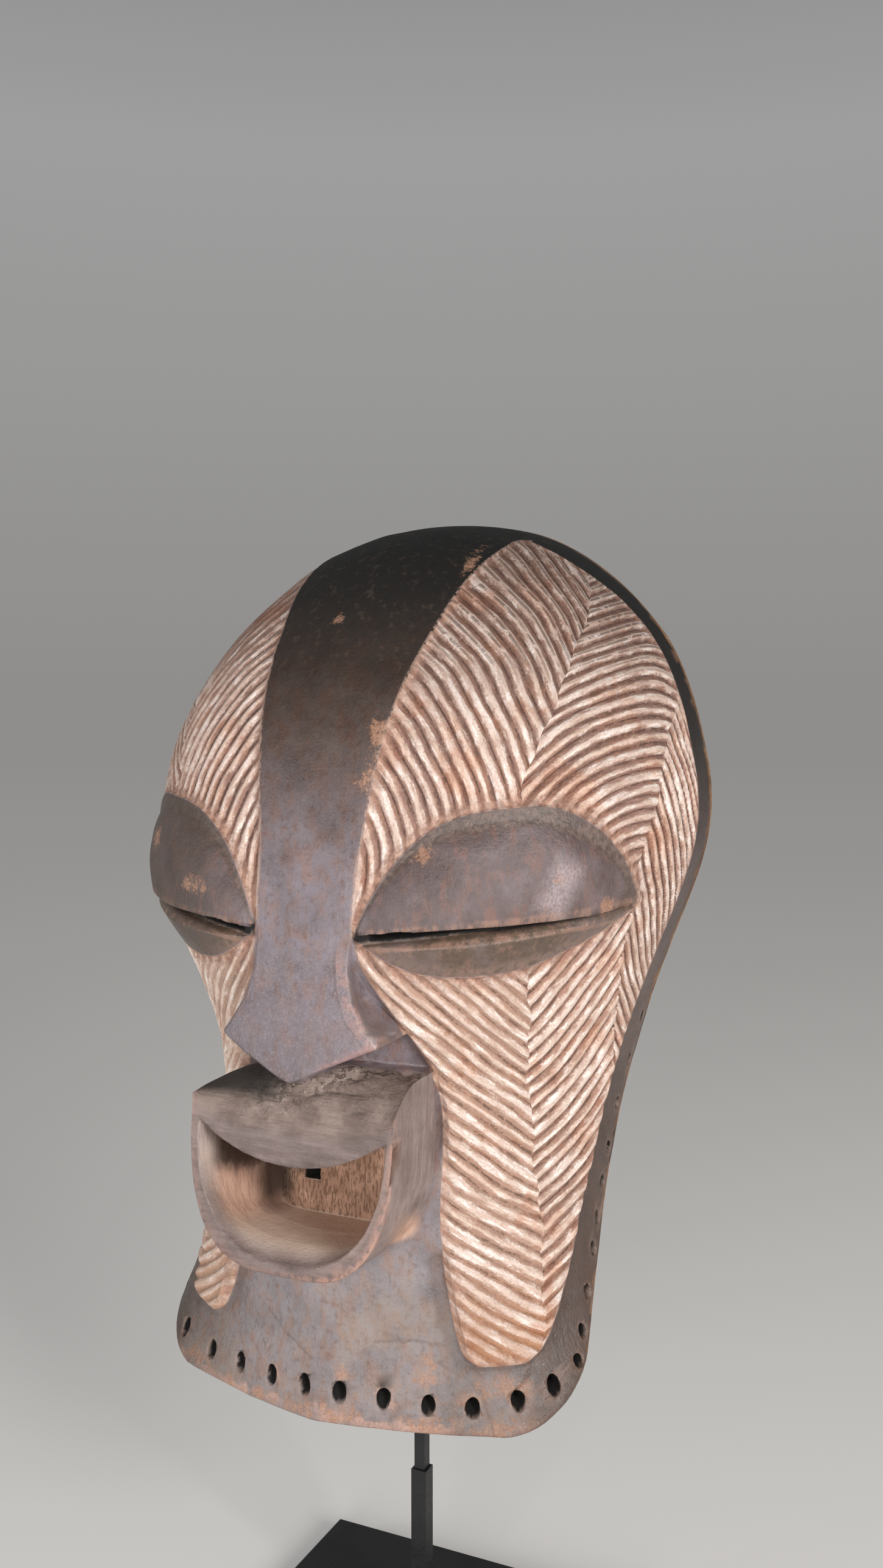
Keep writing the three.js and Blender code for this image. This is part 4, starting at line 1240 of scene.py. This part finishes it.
    # near the top a fine cut runs down the middle of each ridge as well
    fine_cut = f.step(x + (streak - 0.5) * 0.5, 0.3, 0.08)
    fine_cut *= f.step(z, 286, 312) * f.step(patchy, 0.38, 0.5)
    # less clay is left high up, out at the temples and low on the panels; on the far brow less clay is
    # painted shade on the side away from the light
    rubbed = f.step(z, 256, 340) * 0.4
    rubbed += f.step(broad, 0.48, 0.66) * 0.25
    rubbed += f.step(z, 90, 56) * 0.35
    far_brow_shade = f.step(across, -30, -55) * f.step(z, 214, 236)
    rubbed += far_brow_shade * 0.3
    ridge *= 1 - rubbed
    ground.coat(f.step(z, 258, 345) * 0.6, 84, 62, 52)
    ground.coat(f.step(z, 96, 56) * 0.7, 168, 118, 82)
    striped = f.mix(ridge, ground, clay)
    striped.coat(groove_side_shade * 0.7, 64, 44, 38)
    striped.coat(fine_cut * 0.75, 84, 62, 52)
    stained = f.step(f.noise(0.05, 4, 0.6), 0.54, 0.64)
    striped.cover(stained * 0.4, f.tint(striped, tone(226, 176, 138)))
    # the far cheek's stripes are painted paler: painted light where the nose's shadow falls
    far_cheek_painted_light = f.step(across, -20, -40) * f.step(z, 206, 196)
    striped.coat(far_cheek_painted_light * 0.15, 236, 216, 200)
    # an orange-brown margin round the eyes and along the panels' edges
    uneven = (patchy + dirt - 1) * 7
    near_eye = f.step(eye + uneven, 6, 1)
    near_edge = f.step(room + uneven, 4, 0) * 0.75
    near_edge *= 1 - f.step(z, 305, 335) * 0.7
    margin = greater(near_eye, near_edge)
    margin_colour = f.mix(f.step(dirt, 0.4, 0.62), tone(136, 102, 88), tone(182, 142, 122))
    striped.cover(margin * 0.75, margin_colour)
    panel = f.step(room, -0.5, 0.1) * f.step(eye, -0.3, 0.5)
    off_panel = greater(inside, greater(box, nose))
    panel *= 1 - off_panel
    colour = f.mix(panel, patina, striped)

    # lids: greyer, mottled with red-brown, a flat browner margin round the dome and a tan edge at the slit
    lid = f.step(eye, 0.2, -0.6) * (1 - off_panel)
    lid_colour = f.ramp(cloudy, (0.32, 78, 64, 62), (0.5, 97, 83, 82), (0.68, 114, 101, 103))
    mottle = f.noise(0.24, 5, 0.72, (1, 1, 0.4))
    lid_colour.coat(f.step(mottle, 0.47, 0.66) * 0.5, 132, 94, 82)
    lid_colour.coat(f.step(speck, 0.46, 0.36) * 0.25, 66, 53, 50)
    above = f.math("GREATER_THAN", over_slit, -0.5)
    margin_here = f.step(dome, 0.2, 0.04) * 0.85
    plain_margin = f.mix(f.step(dirt, 0.42, 0.62), tone(84, 70, 64), tone(112, 94, 84))
    lid_colour.cover(margin_here, plain_margin)
    slit_edge = f.step(over_slit, 2.8, 1.4) * f.step(mottle, 0.4, 0.56)
    lid_colour.coat(slit_edge * 0.5, 158, 122, 104)
    olive = f.mix(f.step(eye, -6, -1), tone(92, 76, 64), tone(122, 102, 90))
    olive.coat(f.step(dirt, 0.46, 0.62) * 0.6, 78, 63, 55)
    olive.coat(f.step(cloudy, 0.46, 0.62) * 0.5, 112, 98, 96)
    olive.coat(f.step(mottle, 0.5, 0.64) * 0.4, 146, 112, 98)
    ridge_line = f.step(abs(over_slit + 5.2), 1.3, 0.5) * f.step(mottle, 0.36, 0.48)
    olive.coat(ridge_line * 0.4, 166, 128, 110)
    lid_colour = f.mix(above, olive, lid_colour)
    # the far lid is painted darker: painted shade on the side away from the light
    lid_colour.coat(f.step(across, -25, -50) * 0.6, 70, 56, 46)
    # a soft bluish painted highlight low on the outer part of the dome
    painted_gleam = f.step(f.near_line(across, z, (85, 222), (88, 229), (dirt - 0.5) * 4), 9, 0)
    painted_gleam *= 0.55 + f.step(speck, 0.4, 0.56) * 0.45
    lid_colour.coat(painted_gleam * 0.6, 186, 170, 172)
    lid_colour.coat(wear_here * 0.6, 172, 138, 122)
    lid_colour.cover(bare_here * 0.75, bare_colour)
    colour.cover(lid, lid_colour)

    # the mouth's box, streaked down its sides and pitted on top, and the bare ochre wood in its pocket
    upright = f.noise(0.6, 4, 0.6, (1, 1, 0.1))
    level = f.noise(0.6, 4, 0.6, (0.12, 1, 1))
    lip = f.ramp(level, (0.34, 115, 98, 93), (0.52, 127, 110, 106), (0.68, 140, 123, 119))
    lip_side = f.ramp(upright, (0.34, 136, 119, 114), (0.52, 150, 134, 129), (0.68, 163, 147, 142))
    lip.cover(f.step(abs(facing[0]), 0.4, 0.75), lip_side)
    lip = f.tint(lip, shade)
    lip.cover(lip_top * 0.5, f.mix(f.step(cloudy, 0.4, 0.6), tone(124, 106, 95), tone(156, 138, 126)))
    pits = f.step(f.noise(0.4, 3, 0.65), 0.53, 0.6)
    clefts = f.step(f.noise(0.7, 3, 0.6, (0.1, 1, 1)), 0.56, 0.62) * 0.6
    pits = greater(pits, clefts) * pitted
    pits = greater(pits, clefts * lip_top * 0.35)
    pale = f.step(f.noise(0.5, 2, 0.5), 0.43, 0.35) * pitted
    lip.coat(pale * 0.4, 190, 174, 160)
    lip.coat(pits * 0.7, 66, 52, 44)
    lip.coat(f.step(split + (speck - 0.5) * 0.5, 0.35, 0.85) * 0.75, 56, 43, 37)
    edge_worn = f.step(dirt + patchy * 0.6, 0.62, 0.84)
    lip.coat(rim_outside * edge_worn * 0.8, 184, 142, 126)
    bowl = f.ramp(cloudy, (0.35, 172, 152, 145), (0.55, 192, 173, 166), (0.7, 208, 190, 182))
    bowl.cover(f.step(px, -16, -30), f.mix(patchy, tone(176, 156, 146), tone(208, 190, 180)))
    lip.cover(dish * 0.85, bowl)
    lip.coat(rim_inside * 0.35, 186, 156, 142)
    lip.coat(wear_here * 0.7, 178, 140, 124)
    # the nose's shadow painted nearly black on the lip's top at the left
    lip.coat(nose_shadow * 0.9, 26, 21, 18)
    colour.cover(box, lip)
    chisel = f.noise(0.6, 3, 0.5, (0.6, 0.6, 0.14))
    ochre = f.ramp(chisel, (0.34, 176, 140, 120), (0.52, 194, 157, 137), (0.72, 204, 169, 150))
    back_wall = f.step(facing[1], -0.6, -0.9)
    chopped_wood = f.mix(f.step(cloudy, 0.4, 0.62), tone(174, 138, 115), tone(206, 167, 143))
    ochre.cover(back_wall, chopped_wood)
    chopped = f.step(f.noise(0.8, 3, 0.6, (1.3, 1.3, 0.34)), 0.5, 0.6)
    ochre.coat(chopped * back_wall * 0.6, 112, 80, 60)
    deep = py - (POCKET_BACK + MASK_FORWARD)
    # painted shadow darkens its deep left corner and the wood under the lip on the left, where the lip's
    # shadow falls
    floor = f.step(facing[2], 0.45, 0.85) * f.step(px, -30, -18)
    ochre.cover(floor * 0.85, f.mix(patchy, tone(206, 180, 160), tone(240, 220, 202)))
    ragged_shadow_edge = (patchy - 0.5) * 9
    in_corner = f.step(deep + ragged_shadow_edge, -22, -8) * f.step(px, -20, -27.5)
    in_corner *= f.step(z, 96, 108)
    lip_shadow = z + deep * 0.3 + ragged_shadow_edge
    lip_shadow = f.step(lip_shadow, 109, 117) * f.step(px, -12, -26)
    pocket_shadow = greater(in_corner, lip_shadow)
    # the painted shadow, in a dark brown
    ochre.coat(pocket_shadow * 0.92, 44, 31, 22)
    colour.cover(pocket, ochre)

    # inside: raw brown wood, darker in its hollows
    raw = f.ramp(patchy, (0.32, 92, 66, 48), (0.55, 128, 96, 70), (0.75, 152, 118, 90))
    raw.coat(streaks * 0.4, 84, 58, 42)
    colour.cover(inside, raw)
    rim_colour = f.mix(patchy, tone(124, 102, 92), tone(172, 144, 128))
    colour.cover(hole * 0.35, rim_colour)
    # the square hole in the back of the mouth is painted black inside too, as painted shade
    peg = PEG_HOLE
    per_depth = peg["slant"] / (peg["ahead"] + peg["behind"])
    aside = px - deep * per_depth
    aside = abs(aside - (peg["x"] + per_depth * peg["ahead"]))
    height_off = abs(pz - (peg["z"] + MASK_RISE))
    in_peg = f.step(aside, peg["width"] / 2 + 3, peg["width"] / 2 + 2) * f.step(deep, 0.2, 1.4)
    in_peg *= f.step(height_off, peg["height"] / 2 + 3, peg["height"] / 2 + 2)
    opening_shade = greater(opening_shade, in_peg * f.step(deep, 34, 30))
    colour.coat(opening_shade, 18, 14, 12)
    f.set("Base Color", colour)

    dull = greater(panel * 0.9, greater(pocket, inside))
    dull = greater(dull, greater(opening_shade, f.step(z, 255, 315)))
    dull = greater(dull, greater(pitted, lip_top) * 0.8)
    polish = f.ramp(cloudy, (0.35, 0.32), (0.65, 0.44))
    polish += (dirt - 0.5) * 0.5
    polish += lid * dome * 0.15
    f.set("Roughness", f.choose(dull, polish, 0.82))
    f.set("Specular IOR Level", 0.45)

    height = grain * 0.5 + speck * 0.5
    height += dirt * 0.7
    height += chopped * pocket * back_wall * -1.2
    height += ridge * panel * 0.4
    height -= pits * box * 1.5
    height -= fine_cut * panel * 0.9
    bump = f.node("Bump", {"Strength": 0.6, "Distance": 0.0007, "Height": height})
    f.set("Normal", bump)
    return f.material


# The sky's colour at the horizon and its strength, and the floor's glow and how far out it fades into the sky
HORIZON = tone(216, 214, 211)
SKY_STRENGTH = 0.4
FLOOR_GLOW = 0.2
FLOOR_FADE = (3, 10)


def steel_finish():
    f = Finish("stand_steel")
    f.use_millimetres()
    cloudy = f.noise(0.05, 4)
    grain = f.noise(0.8, 4, 0.6)
    colour = f.ramp(cloudy, (0.35, 20, 20, 21), (0.65, 32, 32, 33))
    scuffs = f.step(f.noise(0.3, 5, 0.7, (1, 1, 0.2)), 0.66, 0.76) * 0.35
    colour.coat(scuffs, 74, 70, 66)
    f.set("Base Color", colour)
    f.set("Roughness", f.ramp(grain, (0.35, 0.4), (0.65, 0.55)))
    f.set("Normal", f.node("Bump", {"Strength": 0.3, "Distance": 0.0002, "Height": grain}))
    return f.material


def floor_finish():
    """A pale floor that runs into the sky far off, so that no horizon shows."""
    f = Finish("floor")
    place = f.node("TexCoord", {}, out=3)
    out = f.node("VectorMath", {0: place}, out=1, operation="LENGTH")
    far = f.step(out, *FLOOR_FADE)
    f.set("Base Color", f.mix(far, tone(234, 232, 229), tone(0, 0, 0)))
    f.set("Roughness", 0.85)
    f.set("Specular IOR Level", 0)
    f.set("Emission Color", HORIZON)
    f.set("Emission Strength", f.choose(far, FLOOR_GLOW, SKY_STRENGTH))
    return f.material


def edges_of(mesh):
    flat = np.zeros(len(mesh.edges) * 2, np.int32)
    mesh.edges.foreach_get("vertices", flat)
    return flat.reshape(-1, 2)


def averager(edges, count):
    """A function that gives each point the average of a value over the points joined to it."""
    a, b = edges.T
    joined = np.maximum(np.bincount(a, minlength=count) + np.bincount(b, minlength=count), 1)

    def average(values):
        columns = values.reshape(count, -1)
        sums = [np.bincount(a, columns[b, k], count) + np.bincount(b, columns[a, k], count)
                for k in range(columns.shape[1])]
        return (np.stack(sums, 1) / joined[:, None]).reshape(values.shape)

    return average


# How far a point stands out, in millimetres, where it counts as fully worn
WEAR_FULL = 0.55


def wear_of(mesh):
    """How far each point stands out from its surroundings, where handling wears it; hollows are negative."""
    p = points_of(mesh)
    average = averager(edges_of(mesh), len(p))
    surroundings = p
    for _ in range(5):
        surroundings = average(surroundings)
    out = ((p - surroundings) * normals_of(mesh)).sum(1)
    for _ in range(2):
        out = average(out)
    return out / WEAR_FULL


def relax(p, edges, weight, rounds):
    """Moves points towards the average of their neighbours, each as far as its weight says."""
    live = weight > 0.01
    near = edges[live[edges[:, 0]] | live[edges[:, 1]]]
    used, numbered = np.unique(near, return_inverse=True)
    average = averager(numbered.reshape(-1, 2), len(used))
    part = p[used]
    share = np.where(live, weight, 0)[used, None]
    for _ in range(rounds):
        part += share * (average(part) - part)
    p[used] = part


# Random numbers that the rough surfaces are made from, and how a place in space chooses one
TABLE = np.random.default_rng(11).random(8192)
TABLE_STRIDES = np.array([7919, 104729, 1299709])


def rough(points, size):
    """Smooth noise from 0 to 1 whose lumps are about the given size."""
    q = points / size
    cell = np.floor(q).astype(np.int64)
    u = q - cell
    u = u * u * (3 - 2 * u)
    total = np.zeros(len(points))
    for corner in np.ndindex(2, 2, 2):
        share = np.prod(np.where(corner, u, 1 - u), axis=1)
        key = (cell + corner) @ TABLE_STRIDES
        total += share * TABLE[key % len(TABLE)]
    return total


def soften(mesh):
    """Rounds worn edges, and fills the corner between the mouth and the collar."""
    p = points_of(mesh)
    edges = edges_of(mesh)
    _, _, off = chart_of(p)
    x, y, z = p.T
    outside = smooth(off, -4, -2.5) * (y > mouth_front(z) - 40)
    bridge = smooth(z, 186, 200) * (1 - smooth(z, 262, 285)) * (1 - smooth(np.abs(x), 15, 19))
    front = 0.06 * smooth(-y, 128, 134) * (1 - smooth(z, 150, 166))
    relax(p, edges, 0.5 * np.maximum(bridge, front) * outside, 26)

    # the mouth's sides run into the collar and the cheeks in a hollow curve
    from_box = beyond_outline(BOX, x, z)
    corner = (1 - smooth(off + NECK_SUNK, 3, 13)) * (1 - smooth(np.abs(from_box), 3, 11))
    corner *= smooth(off, -5, -3.5) * (1 - smooth(z, 112, 134)) * (z > 76)
    relax(p, edges, 0.6 * corner, 120)

    # the lip's upper edge is worn round
    lip_top = BOX["lip_middle"] + (BOX["lip_corner"] - BOX["lip_middle"]) * (x / BOX["half"]) ** 2
    lip = (1 - smooth(np.abs(z - lip_top), 2, 7)) * (1 - smooth(y - mouth_front(z), 3, 9))
    lip *= np.abs(x) < BOX["half"] - 1
    relax(p, edges, 0.5 * lip * (y > mouth_front(z) - 4), 40)

    # and so is the mouth's rim
    behind = y - mouth_front(z)
    rim = (1 - smooth(np.abs(beyond_outline(MOUTH_EDGE, x, z)), 2.5, 6)) * (1 - smooth(behind, 3, 8))
    relax(p, edges, 0.45 * rim * (behind > -4), 9)
    relax(p, edges, np.full(len(p), 0.3), 2)
    move_points(mesh, p)
    mesh.update()


def erode(mesh):
    """Pits and splits the upper lip and leaves the whole surface slightly uneven. Gives back both regions."""
    p = points_of(mesh)
    normal = normals_of(mesh)
    average = averager(edges_of(mesh), len(p))
    even_normal = normal
    for _ in range(4):
        even_normal = average(even_normal)
    x, y, z = p.T
    _, _, off = chart_of(p)
    top = smooth(normal[:, 2], 0.25, 0.6) * smooth(off, 0.5, 3) * (z > 138) * (z < 178) * (y < -118)
    # the pits lie in a band that runs from the front in the middle to the back at the right
    behind = y - mouth_front(z)
    band = 1 - smooth(np.abs(behind - 5 - 0.35 * np.clip(x + 10, 0, 60)), 3.5, 8)
    middle = top * smooth(x, -26, -8) * (0.25 + 0.75 * band)
    lumps = smooth(rough(p * [0.6, 1, 1], 3.0), 0.45, 0.8) * 0.85 + smooth(rough(p + 50, 4.6), 0.5, 0.8) * 0.7
    splits = 0.0
    for start, width in ((1.5, 0.9), (5.0, 0.7)):
        line = start + 0.06 * (x - 10) + 1.6 * (rough(p * [0.25, 0, 0] + start, 2.5) - 0.5)
        broken = smooth(rough(p * [0.3, 0, 0] + 7 * start, 2.5), 0.15, 0.85)
        at_line = (1 - smooth(np.abs(behind - line), 0.2, width)) * smooth(x, -6, 8)
        splits = np.maximum(splits, at_line * broken)
    eroded = middle * lumps + top * splits * 1.1
    outer = smooth(off, -4, -2)
    uneven = (rough(p, 15) - 0.85) * 0.7 + (rough(p + 30, 6) - 0.85) * 0.28
    p -= normal * eroded[:, None] - even_normal * (uneven * outer)[:, None]
    move_points(mesh, p)
    mesh.update()
    return middle, top * splits


def dress_mask():
    body = mask_body()
    soften(body.data)
    wear = wear_of(body.data)
    pitted, split = erode(body.data)
    carve(body.data, wear, pitted, split)
    thin_out(body, TRIANGLE_LIMIT)
    mesh = body.data
    mesh.transform(Matrix.Scale(0.001, 4) @ Matrix.Translation((0, MASK_FORWARD, MASK_RISE)))
    mesh.materials.clear()
    mesh.materials.append(wood_finish())
    mesh.shade_smooth()
    mesh.update()
    body.name = "carved_mask"
    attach(body, "root")
    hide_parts("mask")
    return body


dress_mask()
steel = steel_finish()
for name in ("mount_stem", "mount_sleeve", "base_plate"):
    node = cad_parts[name]
    node.data.materials.clear()
    node.data.materials.append(steel)

# The floor, pale and plain, reaches this far each way, in metres
FLOOR_REACH = 12
floor_mesh = bpy.data.meshes.new("floor")
corners = [(FLOOR_REACH * x, FLOOR_REACH * y, 0) for x, y in ((-1, -1), (1, -1), (1, 1), (-1, 1))]
floor_mesh.from_pydata(corners, [], [(0, 1, 2, 3)])
floor_mesh.materials.append(floor_finish())
floor = added("floor", floor_mesh)

# The camera, where the photograph was taken from. Its lens is given by the focal length in the photograph's
# own pixels, over the photograph's height
YAW = math.radians(25.07)
PITCH_DOWN = math.radians(3.65)
CAMERA_PLACE = (0.2446, -0.4941, 0.4010)
SENSOR = 36
FOCAL_PIXELS = 2330
PHOTO_HEIGHT = 2576
camera_data = bpy.data.cameras.new("camera")
camera_data.sensor_width = SENSOR
camera_data.lens = SENSOR * FOCAL_PIXELS / PHOTO_HEIGHT
camera = added("camera", camera_data)
camera.location = CAMERA_PLACE
level = math.cos(PITCH_DOWN)
forward = Vector((-math.sin(YAW) * level, math.cos(YAW) * level, -math.sin(PITCH_DOWN)))
camera.rotation_euler = forward.to_track_quat("-Z", "Y").to_euler()
bpy.context.scene.camera = camera

# Three soft lights aimed at the mask: each one's place in metres, power in watts and colour
LIGHT_AIM = (0, 0, 0.28)
LIGHT_WIDTH = 0.5
LIGHTS = dict(
    key=((1.25, -0.85, 0.72), 17, (1, 0.985, 0.965)),
    front=((0.3, -1.6, 0.5), 11, (1, 0.99, 0.98)),
    fill=((-1.1, -1.05, 0.35), 5.5, (0.94, 0.97, 1)),
)
for name, (place, power, colour) in LIGHTS.items():
    light_data = bpy.data.lights.new(name, "AREA")
    light_data.size = LIGHT_WIDTH
    light_data.energy = power
    light_data.color = colour
    light = added(name, light_data)
    light.location = place
    light.rotation_euler = (Vector(LIGHT_AIM) - Vector(place)).to_track_quat("-Z", "Y").to_euler()

# The world, pale and even
world = bpy.data.worlds.new("world")
bpy.context.scene.world = world
world.use_nodes = True
sky = world.node_tree
sky_direction = sky.nodes.new("ShaderNodeTexCoord")
sky_height = sky.nodes.new("ShaderNodeSeparateXYZ")
sky_ramp = sky.nodes.new("ShaderNodeValToRGB")
sky.links.new(sky_direction.outputs["Generated"], sky_height.inputs[0])
sky.links.new(sky_height.outputs[2], sky_ramp.inputs[0])
sky.links.new(sky_ramp.outputs[0], sky.nodes["Background"].inputs["Color"])
sky_ramp.color_ramp.elements[0].color = HORIZON
sky_ramp.color_ramp.elements[1].color = tone(238, 238, 238)
sky_ramp.color_ramp.elements[1].position = 0.35
sky_ramp.color_ramp.elements.new(0.75).color = tone(140, 140, 140)
sky.nodes["Background"].inputs["Strength"].default_value = SKY_STRENGTH
bpy.context.scene.view_settings.view_transform = "Standard"
